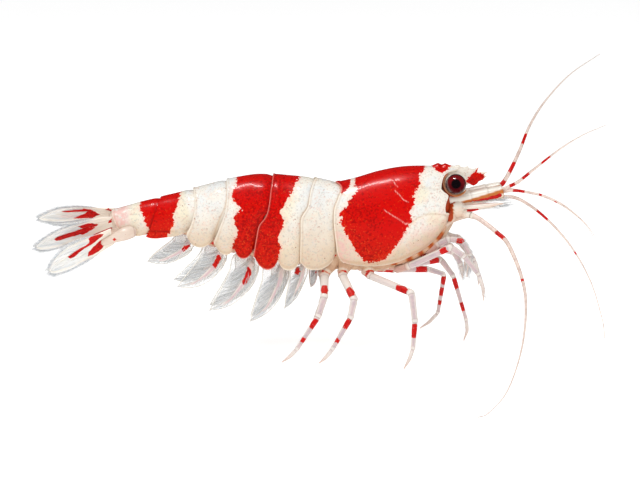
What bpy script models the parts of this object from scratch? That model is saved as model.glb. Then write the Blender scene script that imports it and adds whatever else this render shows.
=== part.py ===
"""A banded freshwater dwarf shrimp at life size, standing on its walking legs.

The head points to +X, the back to +Z and the animal's right side to -Y. The origin is on the floor
under the middle of the whole outline, in the body's plane of symmetry. Sizes below are millimetres.
"""

import math

import bmesh
import bpy
from mathutils import Matrix, Vector

MM = 0.001

# --- Driving sizes -----------------------------------------------------------------------------
SEAM_GAP = 0.06  # clearance between neighbouring pieces
THIN = 0.5  # least thickness of a fin, leg or feeler
PLEURON_WALL = 0.5  # side flap of an abdominal plate, hanging past the belly
PLATE_STEP = 0.025  # share by which a plate's rear rim stands out over the next plate

# The body's outline from the side, tail to head: (x, z) along the back and along the lower edge.
BACK = [(-14.8, 9.15), (-12.9, 9.7), (-10.3, 10.35), (-9.4, 10.6), (-7.2, 11.2), (-5.3, 11.55),
        (-4.0, 11.55), (-1.3, 11.3), (0.0, 11.1), (1.3, 11.35), (2.8, 11.8), (4.4, 12.1),
        (6.0, 12.15), (7.6, 12.05)]
LOWER_EDGE = [(-14.8, 8.2), (-13.6, 7.72), (-12.4, 7.6), (-9.8, 7.68), (-8.0, 7.3), (-5.4, 6.6),
              (-2.3, 6.05), (0.0, 6.3)]
CARAPACE_EDGE = [(-0.1, 6.6), (0.4, 6.12), (1.5, 5.82), (2.8, 5.8), (4.8, 6.3), (6.5, 7.4), (7.55, 8.95)]
HALF_WIDTH = [(-14.8, 0.72), (-12.4, 1.0), (-10.0, 1.35), (-8.0, 1.7), (-5.5, 1.95), (-2.5, 2.1),
              (0.5, 2.15), (3.0, 2.2), (5.0, 2.1), (6.3, 1.85), (7.6, 1.45)]

# Seams run from the back (first x) down to the lower edge (second x).
TAIL_END = (-14.7, -14.1)
SEAMS = [(0.0, -0.15), (-1.3, -2.3), (-4.05, -5.35), (-7.1, -7.95), (-9.35, -9.8), (-11.4, -12.4), TAIL_END]
LOBE_DEPTH = [0.62, 0.8, 0.6, 0.5, 0.12, 0.0]  # how far each side flap hangs below the lower edge
CARAPACE_REAR = [(0.0, 0.05), (0.2, 0.4), (0.45, -0.02), (0.8, 0.1), (1.0, 0.55)]  # (share down the side, x)
CARAPACE_FRONT = [(0.0, 7.1), (0.25, 6.9), (0.5, 7.2), (0.8, 7.2), (1.0, 7.5)]

EYE_RADIUS = 0.66
EYE_CENTRE = (7.78, 1.5, 11.24)
EYESTALK = [(7.5, 0.4, 11.2), (7.6, 0.8, 11.22)]
EYESTALK_RADIUS = 0.28

ROSTRUM_ROOT_X = 7.2
ROSTRUM_TIP = (9.96, 11.72)
ROSTRUM_TEETH = [7.45, 8.05, 8.6, 9.25]  # x of each tooth's point on the upper edge
ROSTRUM_TOOTH = 0.14
ROSTRUM_LOWER_TOOTH = (9.74, 11.38)
ROSTRUM_KEEL = (9.0, 10.88)

STALK_PATH = [(7.32, 0.64, 10.38), (8.4, 0.66, 10.64), (9.6, 0.64, 10.88), (11.05, 0.55, 11.0)]
STALK_RADII = [0.34, 0.35, 0.35, 0.26]

ANTENNA_BASE = (7.95, 0.82, 9.45)
ANTENNA_BASE_RADII = (0.58, 0.6, 0.57)
SCALE_BLADE = ((8.5, 1.25, 9.86), (11.6, 1.3, 9.98))
SCALE_WIDTH = 0.8

FEELER_RADIUS = THIN / 2
# Feelers: points from root to tip on the animal's own left (+y) or right (-y) side.
FEELERS = {
    "antennule_upper_flagellum_left": [(11.22, 0.62, 11.2), (11.64, 1.2, 11.75), (12.4, 3.2, 12.75),
                                       (13.31, 6.0, 14.0), (14.68, 9.5, 15.2), (16.85, 13.6, 16.6),
                                       (19.6, 18.3, 17.6)],
    "antennule_lower_flagellum_left": [(11.42, 0.66, 10.62), (12.56, 1.0, 10.26), (13.95, 1.6, 9.8),
                                       (15.38, 2.4, 8.98), (16.84, 3.2, 7.7), (17.7, 3.8, 6.4)],
    "antennule_upper_flagellum_right": [(11.3, -0.62, 11.25), (11.8, -0.95, 11.5), (12.89, -2.0, 12.39),
                                        (14.3, -3.6, 13.81), (15.54, -5.2, 14.94), (16.73, -7.0, 15.82)],
    "antennule_lower_flagellum_right": [(11.38, -0.62, 10.72), (12.37, -1.0, 10.65), (13.62, -1.6, 10.42),
                                        (14.84, -2.4, 9.91), (16.06, -3.2, 8.94), (16.84, -3.8, 7.87)],
    "antenna_flagellum_left": [(8.85, 1.35, 9.2), (9.9, 2.2, 9.42), (11.2, 2.5, 9.65), (12.38, 2.7, 9.45),
                               (14.12, 2.9, 8.2), (15.87, 3.0, 6.27), (17.28, 3.0, 3.86), (18.1, 2.6, 1.31),
                               (18.25, 2.0, -0.05)],
    "antenna_flagellum_right": [(8.78, -1.2, 9.2), (9.5, -1.6, 9.1), (10.2, -2.4, 8.66), (11.05, -4.0, 7.72),
                                (11.68, -6.5, 6.21), (11.78, -9.0, 4.84), (11.24, -12.5, 3.0),
                                (10.16, -15.5, 1.15), (8.9, -17.4, 0.28), (8.2, -18.2, 0.2)],
}

LEG_RADII = [0.36, 0.32, 0.28, 0.25, 0.25, 0.25]  # hip, basis, knee, wrist, ankle, foot
SMALL_LEG_RADII = [0.29, 0.28, 0.26, 0.25, 0.25, 0.25]
# Walking legs: hip, end of the basis, knee, wrist, ankle and foot, the foot on the floor.
WALKING_LEGS = {
    "leg_5_right": [(-0.85, -1.1, 5.0), (-0.88, -1.5, 4.6), (-0.78, -3.2, 4.06), (-1.13, -3.8, 3.2),
                    (-2.29, -4.4, 1.67), (-3.45, -4.7, 0.0)],
    "leg_4_right": [(0.5, -1.1, 5.25), (0.5, -1.5, 4.95), (1.14, -3.6, 4.02), (0.66, -4.3, 2.48),
                    (-0.1, -4.7, 1.19), (-0.95, -4.85, 0.0)],
    "leg_3_right": [(1.9, -1.1, 5.3), (2.41, -1.6, 5.05), (4.85, -4.2, 4.48), (5.19, -5.1, 2.86),
                    (4.99, -5.9, 1.05), (4.22, -6.45, 0.0)],
    "leg_5_left": [(-0.85, 1.1, 5.0), (-0.8, 1.45, 4.5), (-0.68, 2.0, 3.3), (-0.9, 2.2, 2.4),
                   (-1.6, 2.3, 1.1), (-2.25, 2.35, 0.0)],
    "leg_4_left": [(0.6, 1.1, 5.25), (2.3, 1.9, 4.9), (6.95, 4.3, 4.45), (7.57, 4.8, 3.33),
                   (7.2, 5.0, 1.6), (6.0, 5.1, 0.0)],
    "leg_3_left": [(2.3, 1.0, 5.3), (4.2, 1.6, 5.12), (7.06, 2.2, 5.5), (8.08, 2.0, 3.8),
                   (8.76, 1.7, 1.66), (8.72, 1.5, 0.0)],
}
# Small front limbs of the right side: clawed legs 1 and 2 and the third maxilliped.
FRONT_LIMBS = {
    "leg_2": [(4.0, 0.9, 5.55), (4.7, 1.4, 5.75), (7.5, 2.0, 6.95), (8.32, 2.0, 6.35),
              (9.11, 2.1, 5.28), (9.71, 2.2, 3.75)],
    "leg_1": [(5.1, 0.75, 5.75), (5.6, 0.8, 5.8), (6.9, 0.95, 6.05), (7.5, 1.0, 5.7), (7.95, 1.0, 5.1),
              (8.15, 1.0, 4.5)],
    "maxilliped": [(6.1, 1.1, 6.5), (6.55, 1.12, 6.88), (7.25, 1.15, 7.6), (8.3, 1.4, 7.5), (8.86, 1.5, 6.45),
                   (8.72, 1.5, 4.4)],
}
LEFT_LIMB_LIFT = 0.12  # the left front limbs are held this much higher

STERNUM = [(-1.2, 5.45), (0.4, 5.3), (2.0, 5.3), (3.4, 5.4), (4.7, 5.8)]
MOUTHPARTS = [(5.8, 6.3), (6.5, 6.84), (7.3, 7.65), (7.95, 8.5)]

# Swimmerets: root and tip (x, y, z), and breadth, front to rear. The left ones swing further forward.
SWIMMERETS = {
    "right": [
        ((-2.15, 0.55, 5.6), (-3.1, 1.25, 3.05), 0.95),
        ((-3.6, 0.55, 5.55), (-5.3, 1.65, 2.2), 1.5),
        ((-5.6, 0.55, 5.95), (-8.0, 1.65, 3.0), 1.5),
        ((-7.6, 0.5, 6.55), (-10.25, 1.55, 4.5), 1.35),
        ((-9.65, 0.45, 7.1), (-12.15, 1.35, 5.9), 1.1),
    ],
    "left": [
        ((-2.15, 0.55, 5.6), (-1.6, 1.25, 3.6), 0.8),
        ((-3.6, 0.5, 5.5), (-4.5, 1.4, 2.05), 1.3),
        ((-5.6, 0.55, 5.95), (-7.2, 1.65, 2.6), 1.4),
        ((-7.6, 0.5, 6.55), (-9.55, 1.55, 4.05), 1.3),
        ((-9.65, 0.45, 7.1), (-11.85, 1.35, 5.5), 1.1),
    ],
}
SWIMMERET_ROLL = 72

# The uropods' shared base on each side, and the blades of the tail fan: root, tip, breadth and roll of
# each blade about its own length, in degrees.
UROPOD_BASE = ((-13.5, 1.12, 7.78), (-14.3, 1.2, 7.56))
UROPOD_BASE_RADIUS = 0.28
TAIL_FAN = {
    "telson": ((-14.75, 0.0, 9.0), (-19.75, 0.0, 8.85), 1.4, 32),
    "uropod_inner_right": ((-14.75, -0.72, 8.2), (-19.65, -2.25, 7.2), 1.55, 50),
    "uropod_outer_right": ((-14.5, -1.25, 7.42), (-18.7, -3.3, 5.8), 1.75, 58),
    "uropod_inner_left": ((-14.75, 0.8, 8.4), (-19.3, 2.4, 8.0), 1.5, -16),
    "uropod_outer_left": ((-14.5, 1.25, 7.45), (-18.55, 3.6, 6.7), 1.75, -34),
}

COLOURS = {  # base colour, roughness
    "shell": ((0.88, 0.85, 0.8, 1.0), 0.3),
    "banded": ((0.72, 0.06, 0.02, 1.0), 0.3),
    "limb": ((0.86, 0.76, 0.72, 1.0), 0.35),
    "fin": ((0.8, 0.81, 0.8, 1.0), 0.4),
    "feeler": ((0.82, 0.66, 0.6, 1.0), 0.4),
    "eye": ((0.07, 0.008, 0.01, 1.0), 0.08),
    "flesh": ((0.78, 0.6, 0.42, 1.0), 0.5),
}


# --- Helpers -----------------------------------------------------------------------------------
def mm(*xyz):
    """A point given in millimetres, as metres."""
    return Vector(xyz) * MM


def smooth(table, x):
    """The value at x on a smooth curve through a table of (x, value), held level past its ends."""
    if x <= table[0][0]:
        return table[0][1]
    if x >= table[-1][0]:
        return table[-1][1]
    i = max(k for k in range(len(table) - 1) if table[k][0] <= x)
    (x0, y0), (x1, y1) = table[i], table[i + 1]
    slope = (y1 - y0) / (x1 - x0)
    before = (y0 - table[i - 1][1]) / (x0 - table[i - 1][0]) if i else slope
    after = (table[i + 2][1] - y1) / (table[i + 2][0] - x1) if i + 2 < len(table) else slope
    start, end = (slope + before) / 2, (slope + after) / 2
    t = (x - x0) / (x1 - x0)
    rise = x1 - x0
    return ((2 * t**3 - 3 * t**2 + 1) * y0 + (t**3 - 2 * t**2 + t) * rise * start
            + (3 * t**2 - 2 * t**3) * y1 + (t**3 - t**2) * rise * end)


def smooth_path(points, count):
    """count points, evenly spaced in parameter, on a Catmull-Rom curve through the given ones."""
    pts = [Vector(p) for p in points]
    pts = [2 * pts[0] - pts[1], *pts, 2 * pts[-1] - pts[-2]]
    spans = len(pts) - 3
    path = []
    for k in range(count):
        s = k / (count - 1) * spans
        i = min(int(s), spans - 1)
        t = s - i
        p0, p1, p2, p3 = pts[i:i + 4]
        path.append(0.5 * (2 * p1 + (p2 - p0) * t + (2 * p0 - 5 * p1 + 4 * p2 - p3) * t**2
                           + (3 * p1 - p0 - 3 * p2 + p3) * t**3))
    return path


def sided(points, side):
    """Points of the right side (positive y as written) put on side -1 (right) or +1 (left)."""
    return [(x, side * y, z) for x, y, z in points]


def material(kind):
    """The Principled material of this kind of surface."""
    found = bpy.data.materials.get(kind)
    if found:
        return found
    colour, roughness = COLOURS[kind]
    made = bpy.data.materials.new(kind)
    made.use_nodes = True
    made.diffuse_color = colour
    shader = made.node_tree.nodes["Principled BSDF"]
    shader.inputs["Base Color"].default_value = colour
    shader.inputs["Roughness"].default_value = roughness
    shader.inputs["Metallic"].default_value = 0.0
    return made


def add(name, data, kind):
    """Links a new object of this data to the shrimp's collection."""
    obj = bpy.data.objects.new(name, data)
    data.materials.append(material(kind))
    bpy.data.collections["shrimp"].objects.link(obj)
    return obj


def mesh_object(name, bm, kind):
    """Finishes a bmesh as an object with outward faces."""
    bmesh.ops.recalc_face_normals(bm, faces=bm.faces)
    mesh = bpy.data.meshes.new(name)
    bm.to_mesh(mesh)
    bm.free()
    mesh.shade_smooth()
    mesh.set_sharp_from_angle(angle=math.radians(50))
    return add(name, mesh, kind)


def tube(name, path, radii, kind, sides=8):
    """A round limb along a path, in millimetres, with a radius at each point."""
    curve = bpy.data.curves.new(name, "CURVE")
    curve.dimensions = "3D"
    curve.bevel_depth = MM
    curve.bevel_resolution = (sides - 4) // 2
    curve.use_fill_caps = True
    spline = curve.splines.new("POLY")
    spline.points.add(len(path) - 1)
    for point, place, radius in zip(spline.points, path, radii):
        point.co = (*(Vector(place) * MM), 1.0)
        point.radius = radius
    return add(name, curve, kind)


def meshed(obj):
    """Turns a curve object into a mesh object of the same name, with its caps welded."""
    graph = bpy.context.evaluated_depsgraph_get()
    mesh = bpy.data.meshes.new_from_object(obj.evaluated_get(graph))
    name, kind = obj.name, obj.data.materials[0].name
    bpy.data.objects.remove(obj)
    mesh.materials.clear()
    bm = bmesh.new()
    bm.from_mesh(mesh)
    bmesh.ops.remove_doubles(bm, verts=bm.verts, dist=0.002 * MM)
    bpy.data.meshes.remove(mesh)
    return name, kind, bm


def set_on_floor(obj):
    """Cuts what reaches below the floor, so that the limb stands on a small flat at z = 0."""
    name, kind, bm = meshed(obj)
    whole = list(bm.verts) + list(bm.edges) + list(bm.faces)
    bmesh.ops.bisect_plane(bm, geom=whole, plane_co=(0, 0, 0), plane_no=(0, 0, 1), clear_inner=True)
    bmesh.ops.holes_fill(bm, edges=[e for e in bm.edges if e.is_boundary], sides=0)
    return mesh_object(name, bm, kind)


def blade(name, root, tip, breadth, roll, kind, thickness=THIN, root_share=0.34, fullest=0.6):
    """A flat leaf-shaped fin from root to tip, rolled about its length by an angle in degrees.

    Its outline is a closed 2D curve: a narrow root, fullest part-way along, and a round tip.
    """
    root, tip = Vector(root), Vector(tip)
    length = (tip - root).length
    half = breadth / 2
    neck = half * root_share
    curve = bpy.data.curves.new(name, "CURVE")
    curve.dimensions = "2D"
    curve.fill_mode = "BOTH"
    curve.extrude = thickness / 2 * MM
    curve.resolution_u = 4
    spline = curve.splines.new("BEZIER")
    spline.use_cyclic_u = True
    outline = [(0, -neck), (length * fullest, -half), (length, 0), (length * fullest, half), (0, neck)]
    spline.bezier_points.add(len(outline) - 1)
    for point, (along, across) in zip(spline.bezier_points, outline):
        point.co = mm(along, across, 0)
    reach, curl = length * 0.26, half * 0.75
    for index, turn in ((1, 1), (3, -1)):
        point = spline.bezier_points[index]
        point.handle_left = point.co - mm(turn * reach, 0, 0)
        point.handle_right = point.co + mm(turn * reach, 0, 0)
    nose = spline.bezier_points[2]
    nose.handle_left, nose.handle_right = nose.co - mm(0, curl, 0), nose.co + mm(0, curl, 0)
    for index in (0, 4):
        spline.bezier_points[index].handle_left_type = "VECTOR"
        spline.bezier_points[index].handle_right_type = "VECTOR"
    obj = add(name, curve, kind)
    along = (tip - root).normalized()
    level = Vector((0, 0, 1)).cross(along).normalized()
    normal = along.cross(level)
    angle = math.radians(roll)
    across = level * math.cos(angle) + normal * math.sin(angle)
    frame = Matrix((along, across, along.cross(across))).transposed().to_4x4()
    obj.matrix_world = Matrix.Translation(root * MM) @ frame
    return obj


# --- Body shell --------------------------------------------------------------------------------
SIDE_ARC = 0.86 * math.pi  # how far round from the back the side of a plate reaches
TURN_IN = 0.38  # squareness of the lower half of a plate: 1 is round, 0 is upright
TURN_IN_CARAPACE = 0.5
CREST = 0.92  # roundness of the back


def side_point(x, share, lower_edge, swell, turn_in):
    """(y, z) of the right side of the body at x, a share 0 (back) to 1 (lower edge) of the way down."""
    angle = share * SIDE_ARC
    top = smooth(BACK, x)
    half_height = (top - lower_edge) / (1 - math.cos(SIDE_ARC))
    middle = top - half_height
    bulge = math.sin(angle) ** (CREST if angle < math.pi / 2 else turn_in)
    return -smooth(HALF_WIDTH, x) * bulge * swell, middle + half_height * math.cos(angle) * swell


def shell(name, front, rear, lower_edge, rows, rings, kind, turn_in, step=0.0, belly_row=None):
    """A closed plate lofted from its front seam to its rear seam.

    front and rear give x for a share down the side, and lower_edge gives z for (x, share along).
    Below belly_row the inside is open between two side flaps. Each end is a ladder of rungs that run
    straight across at one x, so that neighbouring plates face each other all over at the same gap.
    """
    bm = bmesh.new()
    loops = []
    for i in range(rings + 1):
        along = i / rings
        swell = 1 + step * along**2
        right, left, right_in, left_in = [], [], [], []
        for j in range(rows + 1):
            share = j / rows
            x = front(share) + (rear(share) - front(share)) * along
            y, z = side_point(x, share, lower_edge(x, along), swell, turn_in)
            right.append(bm.verts.new(mm(x, y, z)))
            left.append(right[0] if j == 0 else bm.verts.new(mm(x, -y, z)))
            if belly_row and j >= belly_row:
                right_in.append(bm.verts.new(mm(x, y + PLEURON_WALL, z)))
                left_in.append(bm.verts.new(mm(x, -y - PLEURON_WALL, z)))
        loops.append((right, left, right_in, left_in))
    around = [right + right_in[::-1] + left_in + left[:0:-1] for right, left, right_in, left_in in loops]
    for ahead, behind in zip(around, around[1:]):
        for k in range(len(ahead)):
            n = (k + 1) % len(ahead)
            bm.faces.new((ahead[k], ahead[n], behind[n], behind[k]))
    last = belly_row or rows
    for right, left, right_in, left_in in (loops[0], loops[-1]):
        bm.faces.new((right[0], right[1], left[1]))
        for j in range(1, last - 1 if belly_row else last):
            bm.faces.new((right[j], right[j + 1], left[j + 1], left[j]))
        if belly_row:
            j = belly_row
            bm.faces.new((right[j - 1], right[j], right_in[0], left_in[0], left[j], left[j - 1]))
            for outer, inner in ((right, right_in), (left, left_in)):
                for k in range(len(inner) - 1):
                    bm.faces.new((outer[j + k], outer[j + k + 1], inner[k + 1], inner[k]))
    bmesh.ops.triangulate(bm, faces=bm.faces)
    return mesh_object(name, bm, kind)


def seam_curve(ends, shift=0.0):
    """x of a seam for a share down the side, easing from its x at the back to its x at the edge."""
    back, edge = ends

    def at(share):
        ease = share * share * (3 - 2 * share)
        return back + (edge - back) * ease + shift
    return at


def make_abdomen():
    """Six overlapping plates. The first five have side flaps with round lower lobes."""
    for index in range(6):
        front = seam_curve(SEAMS[index], -SEAM_GAP)
        rear = seam_curve(SEAMS[index + 1])
        depth = LOBE_DEPTH[index]

        def lower_edge(x, along, depth=depth):
            return smooth(LOWER_EDGE, x) - depth * math.sin(math.pi * min(max(along, 0.0), 1.0)) ** 0.6
        kind = "banded" if index in (1, 4) else "shell"
        shell(f"abdomen_segment_{index + 1}", front, rear, lower_edge, rows=8, rings=5, kind=kind,
              turn_in=TURN_IN, step=PLATE_STEP if index < 5 else 0.0, belly_row=6 if index < 5 else None)


def make_carapace():
    """The one-piece shell of head and thorax."""
    shell("carapace", lambda share: smooth(CARAPACE_FRONT, share), lambda share: smooth(CARAPACE_REAR, share),
          lambda x, along: smooth(CARAPACE_EDGE, x), rows=12, rings=12, kind="banded",
          turn_in=TURN_IN_CARAPACE)


def make_rostrum():
    """A thin upright blade with saw teeth above, one tooth below and a keel under its middle."""
    outline = [(ROSTRUM_ROOT_X, 11.2), (ROSTRUM_ROOT_X, 12.02)]
    for x in ROSTRUM_TEETH:
        z = 12.02 + (x - ROSTRUM_ROOT_X) * (ROSTRUM_TIP[1] - 12.02) / (ROSTRUM_TIP[0] - ROSTRUM_ROOT_X)
        outline += [(x - 0.22, z), (x, z + ROSTRUM_TOOTH), (x + 0.06, z)]
    outline += [ROSTRUM_TIP, (9.5, 11.52), ROSTRUM_LOWER_TOOTH, (9.4, 11.2), ROSTRUM_KEEL, (8.4, 11.2)]
    curve = bpy.data.curves.new("rostrum", "CURVE")
    curve.dimensions = "2D"
    curve.fill_mode = "BOTH"
    curve.extrude = THIN / 2 * MM
    spline = curve.splines.new("POLY")
    spline.use_cyclic_u = True
    spline.points.add(len(outline) - 1)
    for point, (x, z) in zip(spline.points, outline):
        point.co = (x * MM, z * MM, 0.0, 1.0)
    obj = add("rostrum", curve, "banded")
    obj.rotation_euler = (math.pi / 2, 0, 0)


# --- Head --------------------------------------------------------------------------------------
def ellipsoid(name, centre, radii, kind, segments=14, rings=8):
    """A rounded knob."""
    bm = bmesh.new()
    bmesh.ops.create_uvsphere(bm, u_segments=segments, v_segments=rings, radius=MM)
    bmesh.ops.scale(bm, verts=bm.verts, vec=radii)
    obj = mesh_object(name, bm, kind)
    obj.location = mm(*centre)
    return obj


def make_head_side(side, label):
    """Eye and its stalk, antennule stalk, antenna base and antenna scale of one side."""
    (eye,) = sided([EYE_CENTRE], side)
    ellipsoid(f"eye_{label}", eye, (EYE_RADIUS,) * 3, "eye", segments=16, rings=10)
    tube(f"eyestalk_{label}", sided(EYESTALK, side), [EYESTALK_RADIUS] * 2, "flesh")
    path = smooth_path(sided(STALK_PATH, side), 8)
    radii = [smooth([(k / 3, r) for k, r in enumerate(STALK_RADII)], i / 7) for i in range(8)]
    tube(f"antennule_stalk_{label}", path, radii, "limb")
    (base,) = sided([ANTENNA_BASE], side)
    ellipsoid(f"antenna_base_{label}", base, ANTENNA_BASE_RADII, "flesh", segments=12, rings=7)
    root, tip = sided(SCALE_BLADE, side)
    blade(f"antenna_scale_{label}", root, tip, SCALE_WIDTH, -side * 20, "limb", root_share=0.6, fullest=0.4)


def make_feelers():
    """Four antennule flagella in one length each, and two antenna flagella in two lengths."""
    for name, points in FEELERS.items():
        path = smooth_path(points, 17 if name.startswith("antenna_") else 11)
        if not name.startswith("antenna_"):
            tube(name, path, [FEELER_RADIUS] * len(path), "feeler", sides=6)
            continue
        half = len(path) // 2
        near, far = path[:half + 1], path[half:]
        far[0] = far[0] + (far[1] - far[0]).normalized() * SEAM_GAP
        tube(f"{name}_near", near, [FEELER_RADIUS] * len(near), "feeler", sides=6)
        set_on_floor(tube(f"{name}_far", far, [FEELER_RADIUS] * len(far), "feeler", sides=6))


# --- Limbs -------------------------------------------------------------------------------------
JOINT_SHARE = 0.14  # how near its joints each limb piece begins to taper
JOINT_SWELL = 1.06
FOOT_REACH = 0.2  # the last point runs this far past the floor before it is cut level


def jointed(points, radii):
    """Points and radii of a limb: straight pieces with slightly swollen joints between them."""
    path, sizes = [Vector(points[0])], [radii[0]]
    for index in range(len(points) - 1):
        start, end = Vector(points[index]), Vector(points[index + 1])
        for share in (JOINT_SHARE, 1 - JOINT_SHARE):
            path.append(start.lerp(end, share))
            near_joint = radii[index] if share < 0.5 else radii[index + 1]
            sizes.append(max(near_joint * (JOINT_SWELL if 0 < index else 1), THIN / 2))
    path.append(Vector(points[-1]))
    sizes.append(radii[-1])
    return path, sizes


def make_walking_legs():
    """Legs 3 to 5 of both sides, each ending in a flat on the floor."""
    for name, points in WALKING_LEGS.items():
        path, radii = jointed(points, LEG_RADII)
        path[-1] = path[-1] + (path[-1] - path[-2]).normalized() * FOOT_REACH
        set_on_floor(tube(name, path, radii, "limb"))


def make_front_limbs(side, label):
    """Clawed legs 1 and 2 and the third maxilliped, held clear of the floor under the head."""
    for name, points in FRONT_LIMBS.items():
        placed = sided(points, side)
        if side > 0:
            lifts = [0.0, 0.0] + [LEFT_LIMB_LIFT] * (len(placed) - 2)
            placed = [(x, y, z + lift) for (x, y, z), lift in zip(placed, lifts)]
        path, radii = jointed(placed, SMALL_LEG_RADII)
        tube(f"{name}_{label}", path, radii, "limb", sides=6)


def flattened_tube(name, outline, radius, spread):
    """A soft mass under the shell: a tube along (x, z) points, widened across the body."""
    path = smooth_path([(x, 0.0, z) for x, z in outline], 8)
    obj = tube(name, path, [radius * 0.7] + [radius] * 6 + [radius * 0.7], "flesh")
    obj.scale = (1, spread, 1)


def make_underside():
    """The breastplate that carries the legs, and the mouthparts under the head."""
    flattened_tube("thorax_underside", STERNUM, 0.32, 1.7)
    flattened_tube("mouthparts", MOUTHPARTS, 0.36, 1.8)


def make_swimmerets(side, label):
    """Five swimmerets of one side, each a leaf that hangs under its plate."""
    for index, (root, tip, breadth) in enumerate(SWIMMERETS[label]):
        start, end = sided([root, tip], side)
        blade(f"swimmeret_{index + 1}_{label}", start, end, breadth, side * SWIMMERET_ROLL, "fin",
              root_share=0.36, fullest=0.4)


def make_tail_fan():
    """The telson and the uropods, which are turned to show their upper faces to the right."""
    for side, label in ((-1, "right"), (1, "left")):
        tube(f"uropod_base_{label}", sided(UROPOD_BASE, side), [UROPOD_BASE_RADIUS] * 2, "shell")
    for name, (root, tip, breadth, roll) in TAIL_FAN.items():
        blade(name, root, tip, breadth, roll, "fin")


def main():
    for obj in list(bpy.data.objects):
        bpy.data.objects.remove(obj)
    collection = bpy.data.collections.new("shrimp")
    bpy.context.scene.collection.children.link(collection)
    make_carapace()
    make_rostrum()
    make_abdomen()
    make_underside()
    make_tail_fan()
    make_feelers()
    make_walking_legs()
    for side, label in ((-1, "right"), (1, "left")):
        make_head_side(side, label)
        make_front_limbs(side, label)
        make_swimmerets(side, label)


main()
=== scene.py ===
"""Looks of a life-size banded freshwater shrimp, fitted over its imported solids. Lengths are millimetres."""

import math
import random

import bpy
from bpy.props import FloatProperty, FloatVectorProperty, PointerProperty
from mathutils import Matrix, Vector


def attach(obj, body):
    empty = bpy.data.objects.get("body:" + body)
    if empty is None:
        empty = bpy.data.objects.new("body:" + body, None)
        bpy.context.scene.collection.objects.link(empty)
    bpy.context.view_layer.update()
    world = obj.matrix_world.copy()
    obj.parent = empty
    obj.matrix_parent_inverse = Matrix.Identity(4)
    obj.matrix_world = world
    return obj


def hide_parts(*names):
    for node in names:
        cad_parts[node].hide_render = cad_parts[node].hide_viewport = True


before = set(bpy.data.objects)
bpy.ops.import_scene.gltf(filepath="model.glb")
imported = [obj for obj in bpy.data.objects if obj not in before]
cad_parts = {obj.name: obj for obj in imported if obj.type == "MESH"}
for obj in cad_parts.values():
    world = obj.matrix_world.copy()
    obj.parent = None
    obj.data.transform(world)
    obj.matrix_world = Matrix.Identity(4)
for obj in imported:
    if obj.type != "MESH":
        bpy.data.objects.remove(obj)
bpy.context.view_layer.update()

bl_info = {
    "name": "Banded dwarf shrimp",
    "version": (1, 0, 0),
    "blender": (4, 5, 0),
    "location": "3D View > Sidebar > Shrimp",
    "description": "Builds the shell plates, limbs, fins, feelers and bristles of a banded dwarf shrimp",
    "category": "Add Mesh",
}

MM = 0.001

# --- Body outline, tail to head: (x, z) along the back, or (x, half width) --------------------------
BACK = [(-14.8, 9.15), (-12.9, 9.7), (-10.3, 10.35), (-9.4, 10.6), (-7.2, 11.2), (-5.3, 11.55),
        (-4.0, 11.55), (-1.3, 11.3), (0.0, 11.1), (1.3, 11.35), (2.8, 11.8), (4.4, 12.1),
        (6.0, 12.15), (7.6, 12.05), (8.4, 11.95)]
HALF_WIDTH = [(-14.8, 0.72), (-12.4, 1.0), (-10.0, 1.35), (-8.0, 1.7), (-5.5, 1.95), (-2.5, 2.1),
              (0.5, 2.15), (3.0, 2.2), (5.0, 2.1), (6.3, 1.85), (7.6, 1.45), (8.4, 1.1)]
CARAPACE_EDGE = [(-0.1, 6.6), (0.15, 6.3), (0.5, 6.05), (1.5, 5.82), (2.8, 5.8), (4.8, 6.3), (6.5, 7.4),
                 (7.55, 8.95), (8.3, 10.5)]

# Seams: x for a share of the way down the side, 0 on the back and 1 at the lower edge.
CARAPACE_REAR = [(0.0, 0.02), (0.2, 0.38), (0.3, 0.2), (0.45, -0.08), (0.8, 0.05), (0.93, 0.2), (1.0, 0.5)]
CARAPACE_FRONT = [(0.0, 8.15), (0.1, 7.95), (0.19, 7.35), (0.26, 7.07), (0.33, 6.95), (0.41, 6.9),
                  (0.46, 7.06), (0.53, 7.32), (0.57, 7.34), (0.61, 7.22), (0.68, 7.16), (0.75, 7.23),
                  (0.825, 7.42), (0.92, 7.32), (1.0, 7.12)]
SEAMS = [
    [(0.0, 0.0), (0.2, 0.34), (0.3, 0.16), (0.45, -0.12), (0.8, 0.0), (1.0, -0.02)],
    [(0.0, -1.26), (0.29, -1.66), (0.41, -1.81), (0.51, -2.2), (0.66, -2.26), (1.0, -2.32)],
    [(0.0, -4.05), (0.27, -4.2), (0.49, -4.5), (0.57, -4.92), (0.7, -5.14), (1.0, -5.38)],
    [(0.0, -7.14), (0.47, -7.15), (0.63, -7.52), (0.83, -7.84), (1.0, -7.97)],
    [(0.0, -9.36), (0.42, -9.16), (0.59, -9.34), (0.8, -9.65), (1.0, -9.77)],
    [(0.0, -11.4), (0.5, -11.85), (1.0, -12.45)],
    [(0.0, -14.72), (0.5, -14.55), (1.0, -14.1)],
]
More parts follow.
